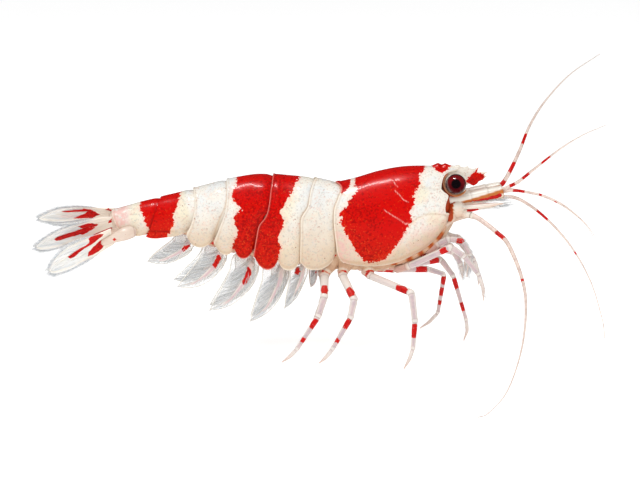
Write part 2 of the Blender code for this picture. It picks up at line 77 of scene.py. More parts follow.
# Lower edge of each abdominal plate, scalloped into lobes: (x, z).
LOBES = [
    [(-2.36, 6.15), (-1.9, 5.68), (-1.3, 5.53), (-0.7, 5.68), (-0.15, 6.15), (0.05, 6.6)],
    [(-5.4, 6.6), (-4.98, 5.84), (-4.46, 5.53), (-3.98, 5.74), (-3.76, 6.05), (-3.52, 5.7),
     (-3.05, 5.5), (-2.55, 5.68), (-2.27, 6.05)],
    [(-8.0, 7.4), (-7.6, 6.72), (-7.2, 6.5), (-6.85, 6.6), (-6.62, 6.85), (-6.4, 6.45),
     (-6.0, 6.25), (-5.6, 6.42), (-5.33, 6.75)],
    [(-9.8, 7.85), (-9.5, 7.3), (-9.0, 6.98), (-8.4, 7.08), (-7.92, 7.5)],
    [(-12.6, 7.75), (-12.3, 7.56), (-10.9, 7.6), (-9.7, 7.85)],
    [(-14.8, 8.2), (-13.6, 7.72), (-12.2, 7.62)],
]
SIDE_ARC = 0.86 * math.pi  # angle from the back to the lower edge
ABDOMEN_CURVE, CARAPACE_CURVE = 0.38, 0.5  # power that rounds the lower flank: less is squarer
ABDOMEN_HEM, CARAPACE_HEM = 3.0, 3.4  # scale of the distance from the lower edge, for its rim
SHELL_MIDDLE = 8.8  # height that the plates' outer faces look away from

# Abdominal plates by index, 0 at the front to 5.
PLATES = len(LOBES)
NOTCHES = {1: -3.76, 2: -6.62}  # x of the notch between a plate's two lobes
FLAT_PLATE = 4  # has no raised rear rim, but a groove low on its side
FLAT_PLATE_GROOVE = 7.98  # its height
RED_PLATES = (1, 2, 4)  # those that are mostly red


# --- Sizes and colours a user would change --------------------------------------------------------
def colour_setting(name, description, default):
    return FloatVectorProperty(name=name, description=description, subtype="COLOR", size=3, min=0.0, max=1.0,
                               default=default)


def length_setting(name, description, default_mm):
    return FloatProperty(name=name, description=description, subtype="DISTANCE", unit="LENGTH", min=0.0,
                         default=default_mm * MM, precision=6)


class ShrimpColours(bpy.types.PropertyGroup):
    """Colours of shell, limbs, fins and eyes"""
    cream: colour_setting("Cream", "Opaque white of the shell", (0.87, 0.83, 0.75))
    cool: colour_setting("Cool white", "Bluish white high on the plates", (0.82, 0.83, 0.81))
    straw: colour_setting("Straw", "Yellowish clouds in the white", (0.86, 0.76, 0.5))
    # Tan: painted shade that darkens the white towards the lower edges, with a warm tinge
    tan: colour_setting("Tan", "Warm tinge along the lower edges", (0.68, 0.53, 0.37))
    # also the colour of the painted highlight along the carapace ridge
    rim: colour_setting("Rim", "Raised rims of white plates", (0.94, 0.83, 0.68))
    red: colour_setting("Red", "Main colour of the bands", (0.63, 0.0015, 0.0004))
    deep_red: colour_setting("Deep red", "Darker clouds in the bands", (0.3, 0.001, 0.001))
    orange: colour_setting("Orange", "Flecks at the ragged band edges", (0.74, 0.07, 0.01))
    limb: colour_setting("Limb", "Cuticle of legs and feelers", (0.67, 0.51, 0.51))
    lilac: colour_setting("Lilac", "Muscle seen through the limbs", (0.5, 0.41, 0.45))
    fin: colour_setting("Fin", "Greyish blades of the tail fan", (0.82, 0.83, 0.82))
    leaf: colour_setting("Leaf", "Pale leaves of the swimmerets", (0.97, 0.97, 0.96))
    bristle: colour_setting("Bristle", "Fine hairs", (0.7, 0.73, 0.76))
    flesh: colour_setting("Flesh", "Soft underside and mouthparts", (0.72, 0.5, 0.33))
    iris: colour_setting("Iris", "Dark red of the eye", (0.16, 0.004, 0.006))


class ShrimpSizes(bpy.types.PropertyGroup):
    """Thicknesses of the fine parts"""
    shell_wall: length_setting("Shell wall", "Thickness of a plate", 0.09)
    rim_height: length_setting("Rim height", "How far a plate's rim stands up", 0.05)
    ragged: length_setting("Ragged edge", "How far the edge of a band wanders", 0.14)
    bristle: length_setting("Bristle", "Radius of a fine hair at its root", 0.014)


TINTS = {  # colours that go with the settings above
    "warm_red": (0.58, 0.025, 0.004), "speck": (0.3, 0.08, 0.04), "blush": (0.83, 0.47, 0.42),
    "band_edge": (0.92, 0.56, 0.44), "white_shade": (0.58, 0.36, 0.2), "red_shade": (0.2, 0.003, 0.002),
    "red_rim": (0.86, 0.32, 0.26), "scratch": (0.95, 0.52, 0.46), "limb_speck": (0.4, 0.08, 0.05),
    "amber": (0.56, 0.17, 0.035), "rust": (0.42, 0.035, 0.008), "joint": (0.22, 0.1, 0.07),
    "milk": (0.9, 0.88, 0.82), "slate": (0.6, 0.64, 0.7), "rib": (0.93, 0.85, 0.71),
    "strand_dark": (0.54, 0.6, 0.66), "strand_pale": (0.98, 0.98, 0.97), "hair_pale": (0.93, 0.93, 0.91),
    "feeler": (0.82, 0.66, 0.58), "feeler_shade": (0.6, 0.42, 0.36), "flesh_shade": (0.55, 0.3, 0.18),
    "face": (0.84, 0.75, 0.64), "face_shade": (0.74, 0.52, 0.36),
    "fin_blush": (0.84, 0.62, 0.6), "leaf_blush": (0.66, 0.44, 0.46),
    "bristle_mid": (0.88, 0.89, 0.9), "fringe": (0.66, 0.7, 0.74), "fringe_mid": (0.84, 0.86, 0.87),
    "iris_dark": (0.07, 0.001, 0.003), "pupil": (0.003, 0.001, 0.002), "eye_ring": (0.014, 0.006, 0.008),
    "eye_margin": (0.06, 0.035, 0.04), "eye_back": (0.015, 0.006, 0.008),
    "floor": (0.9, 0.9, 0.9), "floor_pale": (0.92, 0.92, 0.92),
}


def colour(name):
    """One of the tints, or a colour setting."""
    return TINTS.get(name) or tuple(getattr(bpy.context.scene.shrimp_colours, name))


def size(name):
    """A size setting, in millimetres."""
    return getattr(bpy.context.scene.shrimp_sizes, name) / MM


# --- Small tools ---------------------------------------------------------------------------------
def smooth(table, x):
    """The value at x on a smooth curve through a table of (x, value), held level past its ends."""
    if x <= table[0][0]:
        return table[0][1]
    if x >= table[-1][0]:
        return table[-1][1]
    i = max(k for k in range(len(table) - 1) if table[k][0] <= x)
    (x0, y0), (x1, y1) = table[i], table[i + 1]
    slope = (y1 - y0) / (x1 - x0)
    before = (y0 - table[i - 1][1]) / (x0 - table[i - 1][0]) if i else slope
    after = (table[i + 2][1] - y1) / (table[i + 2][0] - x1) if i + 2 < len(table) else slope
    start, end = (slope + before) / 2, (slope + after) / 2
    t = (x - x0) / (x1 - x0)
    rise = x1 - x0
    return ((2 * t**3 - 3 * t**2 + 1) * y0 + (t**3 - 2 * t**2 + t) * rise * start
            + (3 * t**2 - 2 * t**3) * y1 + (t**3 - t**2) * rise * end)


def ease(low, high, x):
    """0 at low, 1 at high, smooth between; low may be the larger."""
    t = min(max((x - low) / (high - low), 0.0), 1.0)
    return t * t * (3 - 2 * t)


def hump(x, width):
    """1 at x = 0, fading to nothing by a few widths."""
    return math.exp(-(x / width) ** 2)


def nearest(point, line):
    """Nearest point of an open 2D line, and its distance."""
    best, at = 1e9, line[0]
    px, pz = point
    for (ax, az), (bx, bz) in zip(line, line[1:]):
        dx, dz = bx - ax, bz - az
        t = min(max(((px - ax) * dx + (pz - az) * dz) / (dx * dx + dz * dz), 0.0), 1.0)
        away = math.hypot(px - ax - t * dx, pz - az - t * dz)
        if away < best:
            best, at = away, (ax + t * dx, az + t * dz)
    return at, best


def to_line(point, line):
    """Distance of a 2D point from an open line."""
    return nearest(point, line)[1]


def inside_by(point, outline):
    """How far a 2D point lies inside a closed outline: negative outside."""
    px, pz = point
    within = False
    for (ax, az), (bx, bz) in zip(outline, outline[1:] + outline[:1]):
        if (az > pz) != (bz > pz) and px < (bx - ax) * (pz - az) / (bz - az) + ax:
            within = not within
    away = to_line(point, outline + outline[:1])
    return away if within else -away


def within_any(s, spans):
    """How far a length s lies inside the nearest of some (start, end) spans: negative outside."""
    return max((min(s - start, end - s) for start, end in spans), default=-9.0)


def deselect():
    """Leaves nothing selected, in object mode."""
    if bpy.context.mode != "OBJECT":
        bpy.ops.object.mode_set(mode="OBJECT")
    bpy.ops.object.select_all(action="DESELECT")


def only(piece):
    """Selects this piece alone."""
    deselect()
    piece.select_set(True)
    bpy.context.view_layer.objects.active = piece


def shaped_sheet(name, across, along, place, marks=(), closed=False):
    """A grid of faces shaped by place(u, v), u across and v along from 0 to 1, in millimetres.

    marks are pairs of an attribute's name and a function (u, v, point) whose value each vertex keeps.
    """
    deselect()
    bpy.ops.mesh.primitive_grid_add(x_subdivisions=across, y_subdivisions=along, size=1.0,
                                    calc_uvs=True, location=(0, 0, 0))
    piece = bpy.context.active_object
    piece.name = piece.data.name = name
    mesh = piece.data
    places, values = [], {key: [] for key, _ in marks}
    for vertex in mesh.vertices:
        u, v = vertex.co.x + 0.5, vertex.co.y + 0.5
        point = Vector(place(u, v))
        places.extend(point * MM)
        for key, value in marks:
            values[key].append(value(u, v, point))
    mesh.vertices.foreach_set("co", places)
    for key, _ in marks:
        mesh.attributes.new(key, "FLOAT", "POINT").data.foreach_set("value", values[key])
    mesh.update()
    if closed:
        weld(piece)
    return piece


def weld(piece, apart=0.0008):
    """Welds the vertices that meet and turns the faces outwards."""
    only(piece)
    bpy.ops.object.mode_set(mode="EDIT")
    bpy.ops.mesh.select_all(action="SELECT")
    bpy.ops.mesh.remove_doubles(threshold=apart * MM)
    bpy.ops.mesh.dissolve_degenerate(threshold=apart * MM)
    bpy.ops.mesh.normals_make_consistent(inside=False)
    bpy.ops.object.mode_set(mode="OBJECT")


def finish_with(piece, kind, **settings):
    """Adds a modifier of this kind and applies it."""
    only(piece)
    modifier = piece.modifiers.new(kind.title(), kind)
    for key, value in settings.items():
        setattr(modifier, key, value)
    bpy.ops.object.modifier_apply(modifier=modifier.name)


def joined(name, pieces):
    """Joins pieces into one of this name."""
    deselect()
    for piece in pieces:
        piece.select_set(True)
    bpy.context.view_layer.objects.active = pieces[0]
    if len(pieces) > 1:
        bpy.ops.object.join()
    pieces[0].name = pieces[0].data.name = name
    return pieces[0]


SMOOTH = 180  # for dress: shades every edge of a piece smooth


def dress(piece, material, slot, *stands_for, sharp=50):
    """Shades a piece smooth up to an angle and gives it a material, its body and the solids it stands for."""
    only(piece)
    bpy.ops.object.shade_smooth_by_angle(angle=math.radians(sharp))
    piece.data.materials.clear()
    piece.data.materials.append(material)
    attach(piece, "root")
    if stands_for:
        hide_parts(*stands_for)
    return piece


def give_wall(sheet):
    """Turns a plate's faces away from the body's middle line and gives it a wall with soft edges."""
    mesh, wall = sheet.data, size("shell_wall") * MM
    outward = 0.0
    for face in mesh.polygons:
        middle = Vector((face.center.x, 0, SHELL_MIDDLE * MM))
        outward += face.normal.dot(face.center - middle) * face.area
    if outward < 0:
        mesh.flip_normals()
    finish_with(sheet, "SOLIDIFY", thickness=wall, offset=-1.0, use_even_offset=False)
    finish_with(sheet, "BEVEL", width=wall * 0.3, segments=2, limit_method="ANGLE",
                angle_limit=math.radians(60))


TRACK_STEP = 0.03


class Track:
    """A line through points, in millimetres, measured along its length, with a frame carried along it."""

    def __init__(self, points, curved=False, rounding=0.12):
        points = [Vector(p) for p in points]
        dense = []
        ends = [2 * points[0] - points[1], *points, 2 * points[-1] - points[-2]]
        for p0, p1, p2, p3 in zip(ends, ends[1:], ends[2:], ends[3:]):
            count = max(int((p2 - p1).length / TRACK_STEP), 2)
            for k in range(count):
                t = k / count
                if curved:
                    bend, twist = 2 * p0 - 5 * p1 + 4 * p2 - p3, 3 * p1 - p0 - 3 * p2 + p3
                    dense.append(0.5 * (2 * p1 + (p2 - p0) * t + bend * t**2 + twist * t**3))
                else:
                    dense.append(p1.lerp(p2, t))
        dense.append(points[-1])
        if not curved:
            for _ in range(int(2 * (rounding / TRACK_STEP) ** 2)):
                inner = [(a + 2 * b + c) / 4 for a, b, c in zip(dense, dense[1:], dense[2:])]
                dense = [dense[0], *inner, dense[-1]]
        self.points, self.lengths = dense, [0.0]
        for a, b in zip(dense, dense[1:]):
            self.lengths.append(self.lengths[-1] + (b - a).length)
        self.length = self.lengths[-1]
        self.ahead = [(b - a).normalized() for a, b in zip(dense, dense[1:])]
        self.ahead.append(self.ahead[-1])
        side = self.ahead[0].cross(Vector((0, 0, 1)))
        side = side.normalized() if side.length > 0.1 else Vector((0, 1, 0))
        self.side = []
        for ahead in self.ahead:
            side = (side - ahead * side.dot(ahead)).normalized()
            self.side.append(side)
        self.last = 0

    def at(self, s):
        """Place, direction, sideways and upward at a length s along the line."""
        s = min(max(s, 0.0), self.length)
        i = self.last
        while i > 0 and self.lengths[i] > s:
            i -= 1
        while i < len(self.points) - 2 and self.lengths[i + 1] < s:
            i += 1
        self.last = i
        t = (s - self.lengths[i]) / ((self.lengths[i + 1] - self.lengths[i]) or 1.0)
        ahead = self.ahead[i].lerp(self.ahead[i + 1], t).normalized()
        side = self.side[i].lerp(self.side[i + 1], t)
        side = (side - ahead * side.dot(ahead)).normalized()
        return self.points[i].lerp(self.points[i + 1], t), ahead, side, side.cross(ahead)


def along_track(name, track, radius, marks, around=12, spacing=0.06, squash=1.0, cap=0.06):
    """A closed limb along a track, with radius(s) at each length s; marks are functions of (s, turn)."""
    length = track.length

    def spot(u, v):
        s = length * v
        place, _, side, up = track.at(s)
        end = min(s, length - s)
        rounded = math.sqrt(max(1 - (1 - end / cap) ** 2, 0.0)) if end < cap else 1.0
        r = radius(s) * rounded
        turn = 2 * math.pi * u
        return place + side * (math.cos(turn) * r) + up * (math.sin(turn) * r * squash)

    return shaped_sheet(name, around, max(int(length / spacing), 10), spot,
                        marks=[(key, lambda u, v, p, f=f: f(v * length, u)) for key, f in marks], closed=True)


def knob(name, centre, radii, marks, around=32, rings=20, axis=(0, 0, 1)):
    """A rounded knob; marks are functions of the angle in degrees from its axis and the point."""
    axis = Vector(axis).normalized()
    side = axis.cross(Vector((1, 0, 0))).normalized()
    front = axis.cross(side)
    centre = Vector(centre)

    def spot(u, v):
        turn, tilt = 2 * math.pi * u, math.pi * v
        d = (side * math.cos(turn) + front * math.sin(turn)) * math.sin(tilt) + axis * math.cos(tilt)
        return centre + Vector((d.x * radii[0], d.y * radii[1], d.z * radii[2]))

    return shaped_sheet(name, around, rings, spot,
                        marks=[(key, lambda u, v, p, f=f: f(180 * v, p)) for key, f in marks], closed=True)


THIRDS = (0.0, 2.094, 4.189)  # corners of a hair's section, in radians
HAIR_TAPER = 0.7
HAIR_PATCH = 0.0015  # radius of a hair in the UV map
SKEW = Vector((0.31, 0.2, 0.93))  # a direction that no hair follows


def bristles(name, hairs, material, slot):
    """Many fine tapered hairs as one mesh. Each hair is (points, root radius, (u, v) of its root)."""
    places, faces, roots, tones = [], [], [], []
    chance = random.Random(2)
    for points, radius, root in hairs:
        last = len(points) - 1
        start = len(places)
        for k, point in enumerate(points[:-1]):
            ahead = (points[k + 1] - points[max(k - 1, 0)]).normalized()
            side = ahead.cross(SKEW).normalized()
            up = side.cross(ahead)
            r = radius * (1 - HAIR_TAPER * k / last)
            for turn in THIRDS:
                places.append((point + (side * math.cos(turn) + up * math.sin(turn)) * r) * MM)
        places.append(points[-1] * MM)
        faces.append((start + 2, start + 1, start))
        for k in range(last - 1):
            a = start + 3 * k
            for j in range(3):
                n = (j + 1) % 3
                faces.append((a + j, a + n, a + 3 + n, a + 3 + j))
        a = start + 3 * (last - 1)
        faces.extend((a + j, a + (j + 1) % 3, start + 3 * last) for j in range(3))
        roots.extend([root] * (3 * last + 1))
        tones.extend([chance.random()] * (3 * last + 1))
    mesh = bpy.data.meshes.new(name)
    mesh.from_pydata(places, [], faces)
    mesh.attributes.new("tone", "FLOAT", "POINT").data.foreach_set("value", tones)
    unwrap = mesh.uv_layers.new(name="OFBake")
    for loop in mesh.loops:
        u, v = roots[loop.vertex_index]
        turn = THIRDS[loop.vertex_index % 3]
        unwrap.data[loop.index].uv = (u + HAIR_PATCH * math.cos(turn), v + HAIR_PATCH * math.sin(turn))
    piece = bpy.data.objects.new(name, mesh)
    bpy.context.scene.collection.objects.link(piece)
    return dress(piece, material, slot, sharp=SMOOTH)


def bent_hair(root, tip, lean, count):
    """Points from root to tip, bowed by lean at the middle."""
    root, tip, lean = Vector(root), Vector(tip), Vector(lean)
    shares = [k / (count - 1) for k in range(count)]
    return [root.lerp(tip, share) + lean * math.sin(math.pi * share) for share in shares]


# --- Materials -----------------------------------------------------------------------------------
class Paint:
    """Nodes of one material, built a step at a time."""

    def __init__(self, name, roughness, specular, coat=0.0, coat_roughness=0.1):
        self.material = bpy.data.materials.new(name)
        self.material.use_nodes = True
        self.tree = self.material.node_tree
        self.shader = self.tree.nodes["Principled BSDF"]
        self.shader.inputs["Roughness"].default_value = roughness
        self.shader.inputs["Coat Weight"].default_value = coat
        self.shader.inputs["Coat Roughness"].default_value = coat_roughness
        self.shader.inputs["Specular IOR Level"].default_value = specular
        self.place = self.node("ShaderNodeTexCoord").outputs["Object"]

    def node(self, kind, **settings):
        """A new node with these settings."""
        made = self.tree.nodes.new(kind)
        for key, value in settings.items():
            setattr(made, key, value)
        return made

    def feed(self, socket, value):
        """Links an output to a socket, or sets the socket to a constant."""
        if isinstance(value, bpy.types.NodeSocket):
            self.tree.links.new(value, socket)
        else:
            socket.default_value = value

    def maths(self, operation, first, second):
        made = self.node("ShaderNodeMath", operation=operation)
        self.feed(made.inputs[0], first)
        self.feed(made.inputs[1], second)
        return made.outputs[0]

    def add(self, first, second):
        return self.maths("ADD", first, second)

    def times(self, first, second):
        return self.maths("MULTIPLY", first, second)

    def without(self, value):
        """1 less a value."""
        return self.add(self.times(value, -1.0), 1.0)

    def mark(self, name):
        """An attribute of the mesh."""
        return self.node("ShaderNodeAttribute", attribute_name=name).outputs["Fac"]

    def noise(self, per_mm, detail=2.0, rough=0.5, stretch=None):
        """Cloudy noise, from 0 to 1, in the piece's own coordinates."""
        place = self.place
        if stretch:
            mapping = self.node("ShaderNodeMapping")
            mapping.inputs["Scale"].default_value = stretch
            self.feed(mapping.inputs["Vector"], place)
            place = mapping.outputs[0]
        made = self.node("ShaderNodeTexNoise")
        self.feed(made.inputs["Vector"], place)
        made.inputs["Scale"].default_value = per_mm / MM
        made.inputs["Detail"].default_value = detail
        made.inputs["Roughness"].default_value = rough
        return made.outputs["Fac"]

    def streaks(self, mark, per_mm):
        """Noise that only changes with an attribute in mm, so it runs in lines where that stays the same."""
        made = self.node("ShaderNodeTexNoise")
        made.noise_dimensions = "1D"
        self.feed(made.inputs["W"], self.mark(mark))
        made.inputs["Scale"].default_value = per_mm
        made.inputs["Detail"].default_value = 2.0
        made.inputs["Roughness"].default_value = 0.6
        return made.outputs["Fac"]

    def specks(self, per_mm, size_share, kept):
        """1 in small round specks, in this share of the cells."""
        cells = self.node("ShaderNodeTexVoronoi")
        self.feed(cells.inputs["Vector"], self.place)
        cells.inputs["Scale"].default_value = per_mm / MM
        chance = self.node("ShaderNodeSeparateColor")
        self.feed(chance.inputs[0], cells.outputs["Color"])
        dot = self.step(cells.outputs["Distance"], size_share * 1.3, size_share * 0.7)
        return self.times(dot, self.maths("LESS_THAN", chance.outputs[0], kept))

    def step(self, value, low, high):
        """0 at low, 1 at high; low may be the larger."""
        made = self.node("ShaderNodeMapRange", interpolation_type="SMOOTHSTEP")
        self.feed(made.inputs["Value"], value)
        turned = low > high
        numbers = (high, low, 1.0, 0.0) if turned else (low, high, 0.0, 1.0)
        for key, number in zip(("From Min", "From Max", "To Min", "To Max"), numbers):
            made.inputs[key].default_value = number
        return made.outputs["Result"]

    def mix(self, factor, first, second):
        made = self.node("ShaderNodeMix", data_type="RGBA")
        self.feed(made.inputs["Factor"], factor)
        for socket, value in ((made.inputs[6], first), (made.inputs[7], second)):
            self.feed(socket, (*value, 1.0) if isinstance(value, tuple) else value)
        return made.outputs[2]

    def veil(self, under, over, strength, value, low, high):
        """One colour laid over another, as a value goes from low to high."""
        return self.mix(self.times(self.step(value, low, high), strength), under, over)

    def ragged(self, mark, amount, per_mm):
        """The mark, in mm inside a patch, with its edge made to wander by this many mm."""
        wander = self.times(self.add(self.noise(per_mm, detail=2.5, rough=0.65), -0.5), 2 * amount)
        return self.add(mark, wander)

    def bump(self, height, strength, depth):
        made = self.node("ShaderNodeBump")
        made.inputs["Strength"].default_value = strength
        made.inputs["Distance"].default_value = depth * MM
        self.feed(made.inputs["Height"], height)
        self.feed(self.shader.inputs["Normal"], made.outputs[0])

    def red_paint(self, inside, low=0.0):
        """Clouded, finely stippled red that turns orange at the patch's edge and low on the flanks."""
        grain = self.noise(6.5, detail=2.0, rough=0.6)
        cloud = self.times(self.step(self.noise(0.35, detail=1.0), 0.35, 0.7), 0.12)
        paint = self.mix(self.times(low, 0.35), colour("red"), colour("warm_red"))
        paint = self.veil(paint, colour("deep_red"), 0.75, self.add(grain, cloud), 0.54, 0.74)
        edge = self.add(self.times(self.step(inside, 0.16, 0.0), 0.14), self.times(low, 0.07))
        flecks = self.add(self.noise(8.5, detail=1.0), edge)
        return self.veil(paint, colour("orange"), 0.55, flecks, 0.64, 0.76)

    def done(self, value):
        """The material, with this as its colour."""
        self.feed(self.shader.inputs["Base Color"], value)
        return self.material


PAINTS = {}


def paint(kind):
    """The material of this kind, made once."""
    if kind not in PAINTS:
        PAINTS[kind] = PAINT_MAKERS[kind]()
    return PAINTS[kind]


SHELL_CLOUDS = [  # noise per mm, its detail and roughness, where it starts and is full, strength, colour
    (2.2, 3.0, 0.7, 0.53, 0.7, 0.38, (0.84, 0.58, 0.46)),
    (6.0, 2.0, 0.6, 0.54, 0.68, 0.42, (0.46, 0.44, 0.4)),
    (1.3, 4.0, 0.7, 0.55, 0.7, 0.32, (0.6, 0.64, 0.68)),
    (9.0, 1.0, 0.5, 0.6, 0.72, 0.5, (0.6, 0.32, 0.24)),
]


def shell_paint():
    """Glossy cream shell with red bands. Marks: those of shell_marks, with red in mm inside a band."""
    p = Paint("shell", roughness=0.26, coat=0.14, coat_roughness=0.09, specular=0.12)
    red, rim, warm = p.mark("red"), p.mark("rim"), p.mark("warm")
    cloud = p.noise(0.9, detail=3.0)
    white = p.mix(p.times(p.mark("cool"), p.step(cloud, 0.4, 0.62)), colour("cream"), colour("cool"))
    white = p.veil(white, colour("straw"), 0.55, p.noise(0.4, detail=1.0), 0.52, 0.66)
    # painted shade: tan laid over the white towards the lower edges
    white = p.veil(white, colour("tan"), 0.95, p.add(warm, p.times(cloud, 0.6)), 0.3, 1.5)
    for per_mm, detail, rough, low, high, strength, tint in SHELL_CLOUDS:
        white = p.veil(white, tint, strength, p.noise(per_mm, detail, rough), low, high)
    rosy = p.times(p.mark("rosy"), p.step(p.noise(2.6, detail=3.0, rough=0.6), 0.36, 0.58))
    white = p.mix(p.times(rosy, 0.8), white, colour("blush"))
    white = p.mix(p.times(p.specks(2.6, 0.1, 0.4), 0.8), white, colour("speck"))
    inside = p.ragged(p.ragged(red, size("ragged"), 2.4), 0.3, 5.5)
    band = p.step(inside, -0.015, 0.02)
    near = p.times(p.step(inside, -0.3, 0.0), p.without(band))
    white = p.mix(p.times(near, 0.45), white, colour("band_edge"))
    body = p.mix(band, white, p.red_paint(inside, warm))
    shade = p.mix(band, colour("white_shade"), colour("red_shade"))
    body = p.mix(p.times(p.mark("shade"), 0.6), body, shade)
    # pale rims, and the painted highlight along the carapace ridge
    body = p.mix(p.times(rim, 0.8), body, p.mix(band, colour("rim"), colour("red_rim")))
    # pale scratch lines, and one painted highlight line
    body = p.mix(p.times(p.mark("line"), 0.7), body, colour("scratch"))
    p.bump(p.add(p.noise(5.5, detail=2.0, rough=0.6), p.times(cloud, 0.8)), 0.3, 0.02)
    return p.done(body)


def skin_paint(name, shade, roughness=0.32, specular=0.3, wander=0.12, streaks=(1, 1, 1)):
    """Limb cuticle or skin. Marks over the clouded base: red (mm), amber (rusty above 1), cream, dark."""
    p = Paint(name, roughness=roughness, coat=0.15, coat_roughness=0.15, specular=specular)
    cloud = p.noise(2.0, detail=3.0, rough=0.6, stretch=streaks)
    body = p.veil(colour(name), colour(shade), 0.7, cloud, 0.4, 0.68)
    body = p.mix(p.times(p.specks(3.5, 0.12, 0.16), 0.8), body, colour("limb_speck"))
    body = p.mix(p.times(p.mark("cream"), 0.85), body, colour("cream"))
    body = p.mix(p.times(p.mark("amber"), 0.9), body, colour("amber"))
    rusty = p.add(p.mark("amber"), p.times(p.noise(4.0, detail=2.0), 0.8))
    body = p.veil(body, colour("rust"), 0.9, rusty, 1.5, 2.1)
    inside = p.ragged(p.mark("red"), wander, per_mm=4.0)
    body = p.mix(p.step(inside, -0.01, 0.025), body, p.red_paint(inside))
    body = p.mix(p.times(p.mark("dark"), 0.8), body, colour("joint"))
    p.bump(p.noise(6.0, detail=2.0), 0.25, 0.015)
    return p.done(body)


def fin_paint(name):
    """Thin greyish blade. Marks: red and strand (mm), cream (ribs and rims), rosy, clear (see-through)."""
    p = Paint(name, roughness=0.35, specular=0.3)
    cloud = p.noise(2.4, detail=3.0, rough=0.6)
    body = p.mix(p.step(cloud, 0.4, 0.65), colour(name), colour("milk"))
    body = p.veil(body, colour("slate"), 0.35, p.noise(5.0, detail=2.0), 0.55, 0.7)
    strand = p.streaks("strand", 4.5)
    body = p.veil(body, colour("strand_dark"), 0.6, strand, 0.53, 0.64)
    body = p.veil(body, colour("strand_pale"), 0.7, strand, 0.5, 0.42)
    body = p.mix(p.times(p.mark("rosy"), 0.65), body, colour(f"{name}_blush"))
    body = p.mix(p.times(p.mark("cream"), 0.9), body, colour("rib"))
    inside = p.ragged(p.mark("red"), 0.12, per_mm=5.0)
    painted = p.step(inside, -0.01, 0.03)
    body = p.mix(painted, body, p.red_paint(inside))
    p.feed(p.shader.inputs["Alpha"], p.without(p.times(p.mark("clear"), p.without(painted))))
    return p.done(body)


def bristle_paint(name):
    """Hairs whose colour follows the attribute tone, the same all along a hair."""
    p = Paint(name, roughness=0.4, specular=0.3)
    tone = p.mark("tone")
    grey = p.mix(p.step(tone, 0.3, 0.5), colour(name), colour(f"{name}_mid"))
    return p.done(p.mix(p.step(tone, 0.5, 0.7), grey, colour("hair_pale")))


def eye_paint():
    """Glossy eye, coloured by the angle in degrees from the middle of its pupil."""
    p = Paint("eye", roughness=0.1, coat=0.3, coat_roughness=0.03, specular=0.4)
    gaze = p.mark("gaze")
    grain = p.noise(4.0, detail=2.0)
    lit = p.step(p.add(p.mark("high"), p.times(grain, 0.6)), -0.1, 1.0)
    iris = p.mix(lit, colour("iris_dark"), colour("iris"))
    body = p.mix(p.step(p.add(gaze, p.times(grain, 6.0)), 26.0, 36.0), colour("pupil"), iris)
    for start, end, tint in ((56.0, 64.0, "eye_ring"), (66.0, 71.0, "eye_margin"), (73.0, 78.0, "eye_back")):
        body = p.mix(p.step(gaze, start, end), body, colour(tint))
    return p.done(body)


PAINT_MAKERS = {
    "shell": shell_paint,
    "limb": lambda: skin_paint("limb", "lilac", specular=0.4),
    "feeler": lambda: skin_paint("feeler", "feeler_shade", wander=0.15),
    "flesh": lambda: skin_paint("flesh", "flesh_shade", roughness=0.4),
    "face": lambda: skin_paint("face", "face_shade", wander=0.1, streaks=(0.4, 1, 1)),
    "fin": lambda: fin_paint("fin"),
    "leaf": lambda: fin_paint("leaf"),
    "bristle": lambda: bristle_paint("bristle"),
    "fringe": lambda: bristle_paint("fringe"),
    "eye": eye_paint,
}


# --- Shell plates --------------------------------------------------------------------------------
def flank(x, share, lower, squareness, raise_by=0.0):
    """(y, z) of the left side at x, a share 0 (back) to 1 (lower edge) of the way down."""
    angle = share * SIDE_ARC
    top = smooth(BACK, x)
    half_height = (top - lower) / (1 - math.cos(SIDE_ARC))
    middle = top - half_height
    bulge = math.sin(angle) ** (0.92 if angle < math.pi / 2 else squareness) if angle > 0 else 0.0
    y, z = smooth(HALF_WIDTH, x) * bulge, half_height * math.cos(angle)
    length = math.hypot(y, z) or 1.0
    return y + raise_by * y / length, middle + z + raise_by * z / length


# Red areas seen from the side, as closed outlines of (x, z).
SADDLE = [(1.2, 11.9), (1.27, 11.1), (1.4, 10.74), (1.1, 10.4), (0.8, 9.8), (0.45, 9.55), (0.27, 9.35),
          (0.42, 9.1), (0.3, 8.8), (0.52, 8.5), (0.62, 8.1), (0.95, 7.5), (1.25, 7.0), (1.45, 6.65),
          (1.75, 6.2), (2.0, 6.02), (2.47, 6.05), (2.9, 6.12), (3.35, 6.35), (3.8, 6.98), (4.1, 7.38),
          (4.35, 7.75), (4.52, 8.15), (4.72, 8.5), (4.98, 8.8), (4.97, 9.1), (4.8, 9.4), (4.9, 9.62),
          (5.1, 9.92), (5.06, 10.5), (5.24, 10.85), (5.46, 11.15), (5.5, 11.75), (5.75, 11.95),
          (6.15, 12.6), (1.2, 12.6)]
REAR_PATCH = [(-0.3, 12.0), (-0.15, 11.1), (0.1, 10.95), (0.16, 10.75), (0.36, 10.55), (0.57, 10.5),
              (0.7, 10.72), (0.86, 10.9), (0.98, 11.1), (1.05, 12.0)]
CREST_PATCH = [(6.3, 12.6), (6.3, 12.18), (6.48, 12.06), (6.65, 11.94), (6.9, 11.85), (7.2, 11.9),
               (7.4, 12.02), (7.58, 12.18), (7.62, 12.6)]
